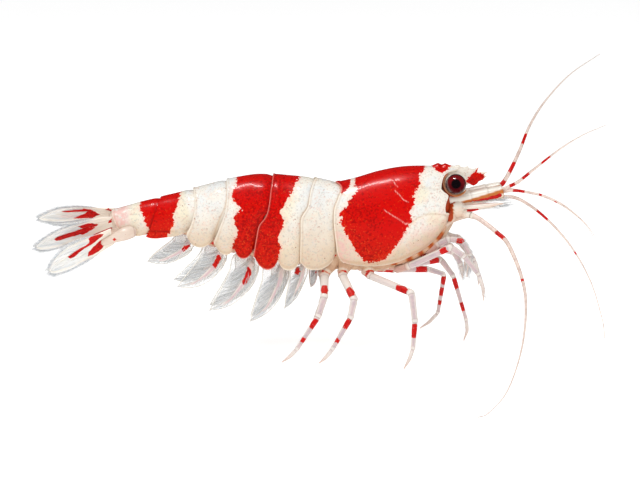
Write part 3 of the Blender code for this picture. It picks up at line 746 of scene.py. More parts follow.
MID_BAND = [(-6.5, 12.5), (-6.5, 11.4), (-6.44, 11.2), (-6.5, 11.0), (-6.7, 10.75), (-6.7, 10.3),
            (-6.45, 10.0), (-6.3, 9.75), (-6.1, 9.58), (-6.38, 9.4), (-6.48, 9.1), (-6.6, 8.8),
            (-6.42, 8.3), (-6.5, 7.7), (-6.72, 7.2), (-6.7, 6.8), (-6.6, 6.0), (-3.8, 5.0), (-3.7, 6.4),
            (-3.56, 6.9), (-3.56, 7.3), (-3.72, 7.7), (-3.55, 8.3), (-3.3, 8.8), (-3.42, 9.15),
            (-3.65, 9.37), (-3.4, 9.75), (-3.05, 10.3), (-2.86, 10.6), (-2.6, 11.1), (-2.35, 11.4),
            (-2.3, 12.5)]
TAIL_BAND = [(-12.85, 11.0), (-12.78, 9.75), (-12.87, 9.55), (-12.7, 9.3), (-12.5, 8.9), (-12.47, 8.56),
             (-12.32, 8.3), (-12.23, 8.05), (-12.4, 7.7), (-12.75, 7.3), (-11.25, 7.2), (-10.98, 7.7),
             (-10.72, 8.15), (-10.5, 8.7), (-10.6, 8.95), (-10.5, 9.3), (-10.35, 9.75), (-10.2, 10.2),
             (-10.1, 11.0)]
GROOVES = [
    [(4.7, 8.5), (4.95, 8.73), (5.35, 9.05), (5.8, 9.26), (6.25, 9.28), (6.7, 9.23), (7.2, 9.12)],
    [(5.6, 11.02), (6.3, 10.88), (7.1, 10.86)],
]
# Thin pale pink lines on the carapace, as (x, z): two scratches, and as the second a painted highlight where
# the shine on the back breaks up.
SCRATCHES_AND_HIGHLIGHT = [
    [(3.14, 9.61), (3.73, 9.23), (4.27, 8.9), (4.52, 8.68), (4.82, 8.7)],
    [(3.7, 11.43), (3.9, 11.19), (4.04, 11.02)],
    [(3.87, 10.8), (4.27, 10.44), (4.38, 10.26), (4.7, 10.11)],
]
EYE_CENTRE = (7.83, 1.48, 11.18)
EYE_RADIUS = 0.67


def side_view(point):
    return point.x, point.z


PLATE_BANDS = {1: MID_BAND, 2: MID_BAND, 4: TAIL_BAND, 5: TAIL_BAND}
REAR_FIRMNESS, SMALL_FIRMNESS = 1.6, 2.2  # make the ragged edge of a small red patch straighter


def plain(u, v, p):
    """A mark that shows nowhere."""
    return 0.0


def no_red(u, v, p):
    """The red mark of a piece without red."""
    return -1.0


def warm_tinge_and_low_shade(u, v, p):
    """Warm tinge and painted shade that grow towards the lower edge, from further down but stronger at the
    front.
    """
    front = ease(1.0, 3.5, p.x)
    start = 0.3 + 0.3 * front - 0.24 * hump(p.x + 0.9, 1.4)
    return (1 + 0.6 * front) * ease(start, 1.0, abs(2 * u - 1))


def shell_marks(red, rim, shade, rosy, line=plain):
    """The attributes that every shell plate carries."""
    cool = lambda u, v, p: 1 - ease(0.35, 0.75, abs(2 * u - 1))
    return [("red", red), ("rim", rim), ("line", line), ("shade", shade), ("rosy", rosy), ("warm", warm_tinge_and_low_shade),
            ("cool", cool)]


def abdomen_plate(index):
    """One abdominal plate with a raised rim, tucked under the plate in front of it."""
    front, rear, lobes = SEAMS[index], SEAMS[index + 1], LOBES[index]
    tuck = 0.3 if index else 0.15
    rise = size("rim_height")
    flat = index == FLAT_PLATE

    def spot(u, v):
        side = 2 * u - 1
        share = abs(side)
        start, end = smooth(front, share) + tuck, smooth(rear, share)
        x = start + (end - start) * v
        behind, ahead = x - end, smooth(front, share) - x
        lower = smooth(lobes, x)
        lift = -0.1 * (1 - ease(-0.1, 0.5, ahead)) + 0.05 * ease(1.2, 0.0, behind)
        rear_rim = 0.0 if flat else 0.9 * hump(behind - 0.05, 0.055)
        lift += rise * (rear_rim + 0.6 * hump((1 - share) * ABDOMEN_HEM - 0.07, 0.07))
        if flat:
            lift -= 0.05 * hump(flank(x, share, lower, ABDOMEN_CURVE)[1] - FLAT_PLATE_GROOVE, 0.09)
        lift += 0.04 * math.sin(math.pi * v)
        if index in NOTCHES:
            lift -= 0.05 * hump(x - NOTCHES[index], 0.07) * ease(0.72, 0.95, share)
        y, z = flank(x, share, lower, ABDOMEN_CURVE, lift)
        return x, math.copysign(y, side), z

    def red(u, v, p):
        return inside_by(side_view(p), PLATE_BANDS[index]) if index in PLATE_BANDS else -1.0

    def rim(u, v, p):
        share = abs(2 * u - 1)
        rear_rim = 0.0 if flat else ease(0.075, 0.035, p.x - smooth(rear, share))
        return max(rear_rim, ease(0.965, 0.985, share))

    def shade(u, v, p):
        share = abs(2 * u - 1)
        if flat:
            return 0.9 * hump(p.z - FLAT_PLATE_GROOVE, 0.07) * ease(-10.3, -10.8, p.x)
        return max(0.6 * hump(p.x - smooth(rear, share) - 0.13, 0.04),
                   0.6 * hump((1 - share) * ABDOMEN_HEM - 0.17, 0.05),
                   0.9 * hump(smooth(front, share) - p.x, 0.06))

    def rosy(u, v, p):
        return ease(-13.2, -14.0, p.x) if index == PLATES - 1 else 0.0

    return shaped_sheet(f"abdomen_plate_{index + 1}", 120, 44, spot, shell_marks(red, rim, shade, rosy))


def carapace_sheet():
    """The one-piece shell of head and thorax, with its grooves, scratches, a painted highlight line and rims.
    """
    rise = size("rim_height")

    def spot(u, v):
        side = 2 * u - 1
        share = abs(side)
        start, end = smooth(CARAPACE_FRONT, share), smooth(CARAPACE_REAR, share)
        x = start + (end - start) * v
        lower = smooth(CARAPACE_EDGE, x)
        here = (x, flank(x, share, lower, CARAPACE_CURVE)[1])
        lift = rise * (0.8 * hump(x - end - 0.04, 0.05) + 0.5 * hump(start - x - 0.03, 0.05))
        lift += 0.8 * rise * hump((1 - share) * CARAPACE_HEM - 0.1, 0.1)
        lift += 0.05 * ease(5.0, 3.5, x) * ease(0.3, 0.6, share)
        for groove in GROOVES:
            lift -= 0.06 * hump(to_line(here, groove), 0.07)
        lift += 0.11 * hump(to_line((here[0], here[1] + 0.2), GROOVES[0]), 0.18)
        for scratch in SCRATCHES_AND_HIGHLIGHT:
            lift += 0.015 * hump(to_line(here, scratch), 0.05)
        y, z = flank(x, share, lower, CARAPACE_CURVE, lift)
        return x, math.copysign(y, side), z

    def red(u, v, p):
        at = side_view(p)
        small = max(REAR_FIRMNESS * inside_by(at, REAR_PATCH), SMALL_FIRMNESS * inside_by(at, CREST_PATCH))
        return max(inside_by(at, SADDLE), small)

    def rim(u, v, p):
        # pale rims at the edges, and a painted highlight along the ridge just below the first groove
        share = abs(2 * u - 1)
        return max(ease(0.085, 0.04, p.x - smooth(CARAPACE_REAR, share)), ease(0.975, 0.99, share),
                   ease(0.06, 0.02, smooth(CARAPACE_FRONT, share) - p.x),
                   0.9 * hump(to_line((p.x, p.z + 0.09), GROOVES[0]), 0.055))

    def line(u, v, p):
        # pale lines along the scratches and along the painted highlight
        return max(1.2 * hump(to_line(side_view(p), scratch), 0.02) for scratch in SCRATCHES_AND_HIGHLIGHT)

    def shade(u, v, p):
        share, at = abs(2 * u - 1), side_view(p)
        return max(0.6 * hump(p.x - smooth(CARAPACE_REAR, share) - 0.14, 0.04),
                   0.8 * hump((1 - share) * CARAPACE_HEM - 0.2, 0.07),
                   0.85 * hump(to_line(at, GROOVES[0]), 0.04), 0.4 * hump(to_line(at, GROOVES[1]), 0.04),
                   0.4 * hump(smooth(CARAPACE_FRONT, share) - p.x - 0.1, 0.03))

    def rosy(u, v, p):
        low = ease(0.55, 0.7, abs(2 * u - 1))
        return 0.8 * low * max(ease(1.6, 0.4, p.x), 0.4 * ease(4.4, 5.2, p.x))

    return shaped_sheet("carapace_shell", 190, 120, spot, shell_marks(red, rim, shade, rosy, line))


INNER_BODY_FRONT, INNER_BODY_LENGTH = 7.4, 21.9
BELLY = [(-14.5, 8.4), (-12.0, 8.0), (-9.6, 7.45), (-8.0, 6.75), (-5.4, 6.1), (-2.4, 5.55), (0.0, 5.5),
         (3.0, 5.75), (5.0, 6.3), (6.5, 7.3), (7.5, 8.6)]  # its lower line: (x, z)


def inner_body():
    """Soft body inside the shell, seen from below and at the gaps."""
    def spot(u, v):
        x = INNER_BODY_FRONT - INNER_BODY_LENGTH * v
        turn = 2 * math.pi * u
        top = smooth(BACK, x) - 0.45
        low = smooth(BELLY, x)
        end = min(ease(0.0, 0.06, v), ease(1.0, 0.97, v))
        half, middle = (top - low) / 2 * end, (top + low) / 2
        ribs = 1 + 0.02 * math.sin(x * 9) * ease(0.0, -1.0, math.sin(turn))
        return x, (smooth(HALF_WIDTH, x) - 0.3) * end * math.cos(turn), middle + half * ribs * math.sin(turn)

    return shaped_sheet("inner_body", 40, 160, spot, closed=True)


# --- Rostrum -------------------------------------------------------------------------------------
ROSTRUM = [(5.8, 11.7), (5.95, 12.12), (6.33, 12.18), (6.73, 12.36), (6.99, 12.24), (7.21, 12.34),
           (7.43, 12.24), (7.61, 12.18), (7.83, 12.17), (8.14, 12.24), (8.19, 12.12), (8.41, 12.06),
           (8.72, 12.16), (8.76, 12.02), (9.02, 11.96), (9.42, 12.05), (9.31, 11.77), (9.69, 11.73),
           (10.06, 11.76), (9.82, 11.61), (9.78, 11.55), (9.98, 11.46), (9.78, 11.35), (9.69, 11.22),
           (9.42, 11.12), (9.34, 10.98), (9.11, 10.83), (8.94, 10.88), (8.8, 10.97), (8.6, 10.85),
           (8.2, 10.62), (7.4, 10.7), (6.8, 11.2)]
ROSTRUM_RED = [(8.6, 11.22), (8.76, 11.45), (8.94, 11.63), (9.14, 11.8), (9.42, 12.1), (9.3, 11.72),
               (9.45, 11.68), (9.73, 11.63), (9.82, 11.45), (9.71, 11.25), (9.44, 11.1), (9.32, 10.95),
               (9.07, 10.8), (8.87, 10.9), (8.8, 11.02), (8.64, 11.08)]
ROSTRUM_RED_START = 8.4  # x from which the rostrum's own red counts, and the crest's before it
ROSTRUM_CELL = 0.028  # of the grid that it is cut from
ROSTRUM_MARGIN = 0.02  # of that grid round the outline


def rostrum_blade():
    """A thin upright blade: saw teeth above, jagged in front, growing out of the crest."""
    xs, zs = [x for x, _ in ROSTRUM], [z for _, z in ROSTRUM]
    low_x, low_z = min(xs) - ROSTRUM_MARGIN, min(zs) - ROSTRUM_MARGIN
    cell = ROSTRUM_CELL
    across = int((max(xs) + ROSTRUM_MARGIN - low_x) / cell)
    along = int((max(zs) + ROSTRUM_MARGIN - low_z) / cell)

    def spot(vertex):
        return low_x + (vertex.co.x + 0.5) * across * cell, low_z + (vertex.co.y + 0.5) * along * cell

    deselect()
    bpy.ops.mesh.primitive_grid_add(x_subdivisions=across, y_subdivisions=along, size=1.0, location=(0, 0, 0))
    blade = bpy.context.active_object
    depths = [inside_by(spot(vertex), ROSTRUM) for vertex in blade.data.vertices]
    only(blade)
    bpy.ops.object.mode_set(mode="EDIT")
    bpy.ops.mesh.select_mode(type="VERT")
    bpy.ops.mesh.select_all(action="DESELECT")
    bpy.ops.object.mode_set(mode="OBJECT")
    for vertex, depth in zip(blade.data.vertices, depths):
        vertex.select = depth < -0.45 * cell
    bpy.ops.object.mode_set(mode="EDIT")
    bpy.ops.mesh.delete(type="VERT")
    bpy.ops.object.mode_set(mode="OBJECT")
    mesh = blade.data
    outline = ROSTRUM + ROSTRUM[:1]
    kept, reds = [], []
    for vertex in mesh.vertices:
        at = spot(vertex)
        edge, _ = nearest(at, outline)
        depth = inside_by(at, ROSTRUM)
        if depth < 0.5 * cell:
            at, depth = edge, 0.0
        thick = 0.34 * ease(9.4, 6.8, at[0]) + 0.1
        kept.extend((at[0] * MM, -thick * math.sqrt(min(depth / 0.35, 1.0)) * MM, at[1] * MM))
        reds.append(SMALL_FIRMNESS * inside_by(at, ROSTRUM_RED if at[0] > ROSTRUM_RED_START else CREST_PATCH))
    mesh.vertices.foreach_set("co", kept)
    # the rostrum takes an even share of the warm tinge and painted shade
    marks = {"red": reds, "warm": [0.35] * len(reds)}
    marks.update((key, [0.0] * len(reds)) for key in ("rim", "line", "shade", "rosy", "cool"))
    for key, values in marks.items():
        mesh.attributes.new(key, "FLOAT", "POINT").data.foreach_set("value", values)
    finish_with(blade, "MIRROR", use_axis=(False, True, False), merge_threshold=0.001 * MM)
    weld(blade, 0.001)
    blade.name = mesh.name = "rostrum_blade"
    return blade


# --- Head ----------------------------------------------------------------------------------------
STALK_PATH = [(7.3, 0.8, 9.98), (8.0, 0.86, 10.06), (8.7, 0.88, 10.2), (9.6, 0.88, 10.36),
              (10.4, 0.84, 10.48), (10.98, 0.78, 10.56)]
EYESTALK_PATH = [(7.2, 0.3, 11.2), (7.5, 0.7, 11.22), (7.7, 1.15, 11.24)]
RUST_EDGE = [(8.5, 7.35), (8.8, 7.5), (9.0, 7.6), (9.3, 7.68), (9.7, 7.66), (10.1, 7.78), (10.3, 7.55)]
LIP_PATH = [(7.05, 0, 8.25), (7.5, 0, 8.62), (8.1, 0, 8.8), (8.95, 0, 8.95)]
JOWL_CENTRE, BASE_CENTRE = (7.58, 0.98, 8.98), (7.98, 0.85, 9.46)
STEM_PATH = [(8.0, 1.0, 9.25), (8.45, 1.15, 9.17), (8.75, 1.25, 9.12), (9.05, 1.42, 9.03)]
SCALE_ENDS = [(8.25, 1.22, 9.6), (10.95, 1.3, 9.85)]  # of the blade beside the antenna base
SCALE_OUTER = [(0.0, 0.2), (0.2, 0.26), (0.6, 0.24), (0.85, 0.13), (1.0, 0.0)]
SCALE_INNER = [(0.0, -0.2), (0.25, -0.27), (0.6, -0.25), (0.85, -0.13), (1.0, -0.02)]
SCALE_HAIRS = 130
BRANCH_PATH = [(8.2, 1.15, 9.3), (8.7, 1.2, 9.38), (9.3, 1.2, 9.5), (10.5, 1.15, 9.66)]
SIDES = ((-1, "right"), (1, "left"))


def widen(piece, factor):
    """Stretches a piece sideways from the plane of symmetry."""
    for vertex in piece.data.vertices:
        vertex.co.y *= factor


def mirrored(table):
    """A table of (along, across) with the other side across."""
    return [(along, -across) for along, across in table]


def sided(points, side):
    """Points given with positive y, put on side -1 (right) or +1 (left)."""
    return [(x, side * y, z) for x, y, z in points]


def skin_marks(red=None, amber=None, cream=None, dark=None):
    """Marks of a limb or a knob, each a function of two values."""
    none = lambda first, second: 0.0
    return [("red", red or (lambda first, second: -1.0)), ("amber", amber or none), ("cream", cream or none),
            ("dark", dark or none)]


def eye(side, label):
    """An eyeball that looks sideways and a little up."""
    centre = Vector(sided([EYE_CENTRE], side)[0])
    gaze = Vector((-0.05, side, 0.19)).normalized()
    return knob(f"eye_ball_{label}", centre, (EYE_RADIUS,) * 3, around=48, rings=40, axis=gaze, marks=[
        ("gaze", lambda angle, p: angle), ("high", lambda angle, p: (p - centre).z / EYE_RADIUS)])


def orbit(side, label):
    """Rim of the socket behind and below the eye, amber outside and cream inside, and the soft eyestalk."""
    x, y, z = EYE_CENTRE

    def spot(u, v):
        around, turn = math.radians(125 + 205 * v), 2 * math.pi * u
        thick = math.sin(math.pi * v) ** 0.5
        reach = 0.8 + 0.11 * thick * math.cos(turn)
        out = y - 0.36 + 0.12 * math.cos(around) + 0.14 * thick * math.sin(turn)
        return x + reach * math.cos(around), side * out, z + reach * math.sin(around)

    def outer(u):
        return math.cos(2 * math.pi * u)

    def amber(u, v, p):
        return 0.85 + 0.2 * ease(0.5, 0.8, v) + 1.4 * ease(0.0, 0.5, outer(u)) * ease(0.8, 0.5, v)

    def cream(u, v, p):
        return 0.2 * ease(0.2, -0.5, outer(u))

    socket = shaped_sheet(f"orbit_{label}", 24, 80, spot, closed=True, marks=[
        ("red", no_red), ("amber", amber), ("cream", cream), ("dark", plain)])
    stalk = Track(sided(EYESTALK_PATH, side), curved=True)
    stem = along_track(f"stalk_{label}", stalk, lambda s: 0.3 + 0.22 * ease(0.3, 0.9, s / stalk.length),
                       marks=skin_marks(cream=lambda s, t: 0.4))
    return joined(f"eye_socket_{label}", [socket, stem])


def rust(p):
    """The rusty crescent along the front edge of the shell, by height."""
    edge = smooth(RUST_EDGE, p.z)
    wavy = p.x + 0.04 * math.sin(p.z * 27)
    return 2.0 * ease(edge + 0.05, edge - 0.05, wavy) * ease(8.4, 8.6, p.z) * ease(10.45, 10.25, p.z)


def cheeks():
    """Skin in front of the carapace, between the eyes and the mouthparts, rusty along the shell's edge."""
    marks = skin_marks(amber=lambda a, p: max(rust(p), 0.35 * ease(10.2, 10.7, p.z)),
                       cream=lambda a, p: 0.5 * ease(9.6, 10.6, p.z))
    lip = along_track("lip", Track(LIP_PATH, curved=True), lambda s: 0.36 - 0.09 * s, around=24, cap=0.2,
                      marks=skin_marks(amber=lambda s, t: 0.3, cream=lambda s, t: 0.3))
    widen(lip, 3.2)
    return joined("cheek_skin", [
        knob("cheek", (6.95, 0, 9.75), (0.85, 1.45, 1.15), marks=marks, around=64, rings=48),
        knob("brow", (7.0, 0, 11.0), (0.95, 0.85, 0.85), marks=marks), lip])


def antennule_stalk(side, label):
    """Three thick segments striped white, amber and red along their length."""
    track = Track(sided(STALK_PATH, side), curved=True)
    joints = (track.length * 0.42, track.length * 0.72, track.length * 0.97)

    def radius(s):
        r = smooth([(0.0, 0.3), (1.4, 0.31), (2.3, 0.36), (3.2, 0.4), (3.7, 0.41)], s)
        for joint in joints:
            r += 0.015 * hump(s - joint + 0.06, 0.1) - 0.03 * hump(s - joint - 0.07, 0.06)
        return r

    def height(t):
        return math.sin(2 * math.pi * t)

    def amber_height(s):
        return smooth([(0.8, -0.78), (1.4, -0.62), (2.4, -0.22), (3.6, 0.25)], s)

    return along_track(f"antennule_stem_{label}", track, radius, around=32, spacing=0.04, marks=skin_marks(
        red=lambda s, t: (0.36 - abs(height(t) - amber_height(s) + 0.56)) * 0.45 - 0.25 * ease(1.6, 1.1, s)
        - 0.3 * ease(3.45, 3.65, s),
        amber=lambda s, t: 1.15 * ease(0.4, 0.26, abs(height(t) - amber_height(s))) * ease(0.4, 1.0, s),
        cream=lambda s, t: ease(0.3, 0.42, height(t) - amber_height(s)) * 0.9,
        dark=lambda s, t: 0.3 * max(hump(s - joint - 0.05, 0.03) for joint in joints)
        + 0.4 * hump(height(t) - 0.6, 0.06)))


def antenna_base(side, label):
    """Swollen base joint, its second joint and the stem of the long feeler."""
    def jowl_amber(a, p):
        edge = p.x + 0.12 * ease(8.95, 8.65, p.z)
        return max(2.0 * ease(7.72, 7.64, edge) * ease(8.6, 8.74, p.z), 0.35)

    jowl_centre, base_centre = sided([JOWL_CENTRE, BASE_CENTRE], side)
    jowl = knob(f"jowl_{label}", jowl_centre, (0.34, 0.44, 0.46), marks=skin_marks(
        amber=jowl_amber, cream=lambda a, p: 0.5))
    ball = knob(f"base_{label}", base_centre, (0.6, 0.64, 0.6), around=40, rings=30, marks=skin_marks(
        amber=lambda a, p: max(rust(p), 0.3 * ease(9.3, 9.0, p.z)),
        cream=lambda a, p: 0.35 * ease(9.4, 9.8, p.z),
        dark=lambda a, p: 0.5 * hump(p.x - 8.4 + 0.3 * abs(p.z - 9.5), 0.03)))
    stem_marks = skin_marks(cream=lambda s, t: 0.3, amber=lambda s, t: 0.35 * ease(0.8, 0.2, s),
                            dark=lambda s, t: 0.9 * hump(s - 0.92, 0.04))
    stem = along_track(f"stem_{label}", Track(sided(STEM_PATH, side), curved=True),
                       lambda s: 0.27 - 0.06 * s + 0.03 * hump(s - 0.5, 0.08), stem_marks,
                       around=16, spacing=0.04)
    return joined(f"antenna_base_skin_{label}", [ball, stem, jowl])


def in_blade(root, tip, roll):
    """A function from (along, across, off) in mm to a place on a blade rolled about its length."""
    root, tip = Vector(root), Vector(tip)
    along = (tip - root).normalized()
    level = Vector((0, 0, 1)).cross(along).normalized()
    angle = math.radians(roll)
    across = level * math.cos(angle) + along.cross(level) * math.sin(angle)
    off = along.cross(across)
    return (lambda a, b, c=0.0: root + along * a + across * b + off * c), (tip - root).length


def leaf(name, place, length, low, high, camber, marks, wall, across=36, along=80, ribs=()):
    """A thin blade between two edges given as tables of (share along, mm across).

    marks are functions (a, b, edge, across): mm along, mm across, mm to the edge, share of the way across.
    """
    def frame_at(u, v):
        t = math.sin(v * math.pi / 2) if v < 1 else 1.0
        lo, hi = smooth(low, t), smooth(high, t)
        return t, lo, hi, lo + (hi - lo) * (0.5 - 0.5 * math.cos(math.pi * u))

    def spot(u, v):
        t, lo, hi, b = frame_at(u, v)
        w = (b - lo) / ((hi - lo) or 1.0)
        off = camber * (1 - (2 * w - 1) ** 2) * min((hi - lo), 1.0)
        raised = sum(height * hump((w - at) * (hi - lo), width) for at, width, height in ribs)
        off += raised * ease(1.0, 0.85, t)
        return place(t * length, b, off)

    def marked(f):
        def value(u, v, p):
            t, lo, hi, b = frame_at(u, v)
            edge = min(b - lo, hi - b, (1 - t) * length * 1.6)
            return f(t * length, b, edge, (b - lo) / ((hi - lo) or 1.0))
        return value

    sheet = shaped_sheet(name, across, along, spot, marks=[(key, marked(f)) for key, f in marks])
    finish_with(sheet, "SOLIDIFY", thickness=wall * MM, offset=0.0, use_even_offset=False)
    weld(sheet)
    return sheet


def antenna_scale(side, label):
    """The pointed blade beside each antenna base, with the slim inner branch below it."""
    place, length = in_blade(*sided(SCALE_ENDS, side), -side * 20)
    low, high = (SCALE_INNER, SCALE_OUTER) if side < 0 else (mirrored(SCALE_OUTER), mirrored(SCALE_INNER))
    blade = leaf(f"blade_{label}", place, length, low, high, 0.08, wall=0.07, marks=[
        ("red", lambda a, b, edge, across: -1.0), ("cream", lambda a, b, edge, across: 0.9),
        ("amber", lambda a, b, edge, across: 0.5 * hump(edge - 0.03, 0.03)),
        ("dark", lambda a, b, edge, across: 0.0)],
        ribs=((0.5, 0.05, 0.04), (0.2, 0.05, 0.03)))
    track = Track(sided(BRANCH_PATH, side), curved=True)
    spans = [(0.4, 1.15)] if side < 0 else []
    branch = along_track(f"branch_{label}", track, lambda s: 0.14 * (1 - 0.75 * s / track.length),
                         marks=skin_marks(red=lambda s, t: within_any(s, spans), cream=lambda s, t: 0.4))
    return joined(f"antenna_scale_blade_{label}", [blade, branch])


def scale_fringe(side, random_of):
    """Fine hairs along the inner margin and tip of an antenna scale, swept forward."""
    hairs = []
    for _ in range(SCALE_HAIRS):
        x = 11.0 - 2.0 * random_of.random() ** 1.3
        y = side * (1.28 - 0.2 * random_of.random())
        z = 9.6 + 0.09 * (x - 8.3) + random_of.uniform(-0.22, 0.08)
        reach = random_of.uniform(0.5, 1.0) * (0.55 + 0.3 * (x - 9.0))
        tip = (x + reach, y - side * 0.1, z + random_of.uniform(-0.2, 0.22))
        hair = bent_hair((x, y, z), tip, (0, 0, random_of.uniform(-0.03, 0.03)), 4)
        hairs.append((hair, size("bristle") * 0.75, (0.5 + 0.1 * side + 0.02 * x, 0.5)))
    return hairs


# --- Feelers -------------------------------------------------------------------------------------
FEELERS = {  # points from root to tip, red spans along the length, radius at the root
    "antennule_upper_flagellum_left": (
        [(10.8, 0.75, 10.62), (11.15, 0.78, 10.98), (11.64, 1.2, 11.75), (12.4, 3.2, 12.75),
         (13.31, 6.0, 14.0), (14.68, 9.5, 15.2), (16.85, 13.6, 16.6), (19.6, 18.3, 17.6)],
        [(0.2, 0.62), (1.2, 2.2), (4.5, 5.8)], 0.15),
    "antennule_lower_flagellum_left": (
        [(10.8, 0.72, 10.5), (11.42, 0.75, 10.48), (12.56, 1.0, 10.26), (13.95, 1.6, 9.8), (15.38, 2.4, 8.98),
         (16.84, 3.2, 7.7), (17.7, 3.8, 6.4)],
        [(2.2, 2.5), (4.2, 4.5)], 0.1),
    "antennule_upper_flagellum_right": (
        [(10.8, -0.75, 10.62), (11.36, -0.8, 10.92), (11.97, -1.1, 11.32), (12.89, -2.0, 12.3),
         (14.3, -3.6, 13.81), (15.54, -5.2, 14.94), (16.73, -7.0, 15.82)],
        [(0.7, 1.1), (1.8, 2.5), (3.8, 4.7)], 0.13),
    "antennule_lower_flagellum_right": (
        [(10.8, -0.75, 10.55), (11.15, -0.78, 10.62), (11.75, -0.88, 10.66), (12.37, -1.0, 10.6),
         (13.62, -1.6, 10.42), (14.84, -2.4, 9.91), (16.06, -3.2, 8.94), (16.84, -3.8, 7.87)],
        [(0.8, 1.6), (2.6, 2.8)], 0.12),
    "antenna_flagellum_left": (
        [(8.7, 1.28, 9.2), (8.85, 1.35, 9.2), (9.9, 2.2, 9.42), (11.2, 2.5, 9.65), (12.38, 2.7, 9.45),
         (14.12, 2.9, 8.2), (15.87, 3.0, 6.27), (17.28, 3.0, 3.86), (18.1, 2.6, 1.31), (18.25, 2.0, 0.05)],
        [(5.6, 6.6), (9.4, 9.7)], 0.16),
    "antenna_flagellum_right": (
        [(8.7, -1.22, 9.15), (9.25, -1.55, 8.97), (9.87, -2.2, 8.62), (10.4, -2.85, 8.26),
         (11.05, -4.0, 7.72), (11.68, -6.5, 6.21), (11.78, -9.0, 4.84), (11.24, -12.5, 3.0),
         (10.16, -15.5, 1.15), (8.9, -17.4, 0.28), (8.2, -18.15, 0.2)],
        [(2.55, 3.45), (7.4, 7.6)], 0.18),
}


def feeler(name, points, spans, root):
    """A long ringed feeler that tapers from its radius at the root."""
    track = Track(points, curved=True)
    length = track.length

    def radius(s):
        ring = 0.04 * math.cos(2 * math.pi * s / 0.16) * ease(0.6, 0.9, s)
        return root * (0.16 + 0.84 * (1 - s / length) ** 1.5) * (1 + ring) + 0.1 * root * hump(s - 0.35, 0.15)

    return along_track(f"{name}_skin", track, radius, around=8, spacing=0.05, cap=0.05, marks=skin_marks(
        red=lambda s, t: within_any(s, spans), cream=lambda s, t: 0.4 * ease(0.0, length, s),
        amber=lambda s, t: 0.25 * ease(0.5, 0.0, s)))


# --- Limbs ---------------------------------------------------------------------------------------
# Points: hip, end of the basis, knee, wrist, ankle, middle of the claw, foot. Then the red spans along it.
WALKING_LEGS = {
    "leg_5_right": ([(-0.6, -1.0, 5.3), (-0.7, -1.4, 5.05), (-0.72, -3.2, 4.05), (-1.11, -3.8, 2.91),
                     (-2.5, -4.4, 0.87), (-3.02, -4.5, 0.34), (-3.5, -4.55, 0.03)],
                    [(1.62, 2.4), (4.08, 4.8), (5.5, 5.85)]),
    "leg_4_right": ([(0.46, -1.0, 5.35), (0.48, -1.5, 5.1), (1.21, -3.6, 3.98), (0.95, -4.3, 2.9),
                     (-0.19, -4.7, 0.97), (-0.64, -4.8, 0.4), (-1.1, -4.85, 0.03)],
                    [(0.3, 0.5), (2.02, 2.92), (4.4, 5.1), (5.85, 6.15)]),
    "leg_3_right": ([(1.95, -1.0, 5.35), (2.35, -1.6, 5.1), (4.89, -4.2, 4.55), (5.08, -5.1, 2.87),
                     (4.93, -5.9, 1.27), (4.7, -6.2, 0.66), (4.31, -6.4, 0.03)],
                    [(0.5, 0.7), (3.25, 4.25), (6.5, 7.45)]),
    "leg_5_left": ([(-0.85, 1.1, 5.0), (-0.8, 1.45, 4.5), (-0.68, 2.0, 3.3), (-0.9, 2.2, 2.4),
                    (-1.4, 2.3, 1.1), (-1.85, 2.32, 0.45), (-2.09, 2.35, 0.03)], [(1.5, 2.3), (4.0, 4.7)]),
    "leg_4_left": ([(1.6, 1.3, 5.15), (3.97, 3.0, 4.62), (6.39, 4.3, 4.34), (7.5, 4.6, 3.92),
                    (7.12, 5.0, 1.12), (6.55, 5.1, 0.45), (5.86, 4.95, 0.03)],
                   [(1.45, 2.75), (4.6, 5.5), (6.95, 7.6), (7.8, 8.45), (8.75, 9.1)]),
    "leg_3_left": ([(2.3, 1.0, 5.3), (4.2, 1.5, 5.1), (7.11, 2.2, 5.46), (7.95, 2.0, 4.36),
                    (8.84, 1.7, 1.4), (8.92, 1.6, 0.66), (8.66, 1.35, 0.03)],
                   [(4.15, 4.8), (6.5, 7.25), (8.2, 8.8)]),
}
FRONT_LIMBS = {
    "leg_2": ([(4.0, 0.9, 5.4), (4.82, 1.4, 5.72), (7.52, 2.0, 7.12), (8.37, 2.0, 6.52),
               (9.33, 2.1, 5.35), (9.66, 2.15, 4.4), (9.68, 2.2, 3.55)], [(3.35, 3.85)]),
    "leg_1": ([(5.1, 0.75, 5.9), (5.6, 0.8, 6.15), (7.0, 1.0, 6.75), (7.75, 1.05, 6.6), (8.25, 1.05, 5.8),
               (8.4, 1.0, 4.75)], [(0.7, 1.0), (1.7, 2.1)]),
    "maxilliped": ([(6.0, 1.1, 6.5), (6.7, 1.12, 7.15), (7.45, 1.15, 7.5), (8.28, 1.3, 7.4), (8.84, 1.4, 6.5),
                    (8.62, 1.4, 4.95)], [(2.3, 2.75)]),
}
LEG_RADII = (0.34, 0.29, 0.27, 0.25, 0.22, 0.2, 0.165, 0.14, 0.12, 0.03)
FRONT_RADII = (0.3, 0.27, 0.25, 0.25, 0.23, 0.22, 0.2, 0.18, 0.13, 0.03)
LEFT_LIMB_LIFT = {"leg_2": 0.12, "leg_1": 0.0, "maxilliped": -0.28}
SPINES, LIMB_HAIRS = 9, 60  # on each limb
BRUSHES = {  # joint where it starts, gap before the tip, hairs, their reach, spread, limb's radius, facing
    "leg_2": (2, 0.3, 160, 0.22, 0.5, 0.1, None),
    "leg_1": (2, 0.0, 160, 0.4, 0.5, 0.08, None),
    "maxilliped": (1, 0.1, 300, 0.36, 0.6, 0.1, (1, 0, -0.2)),
}


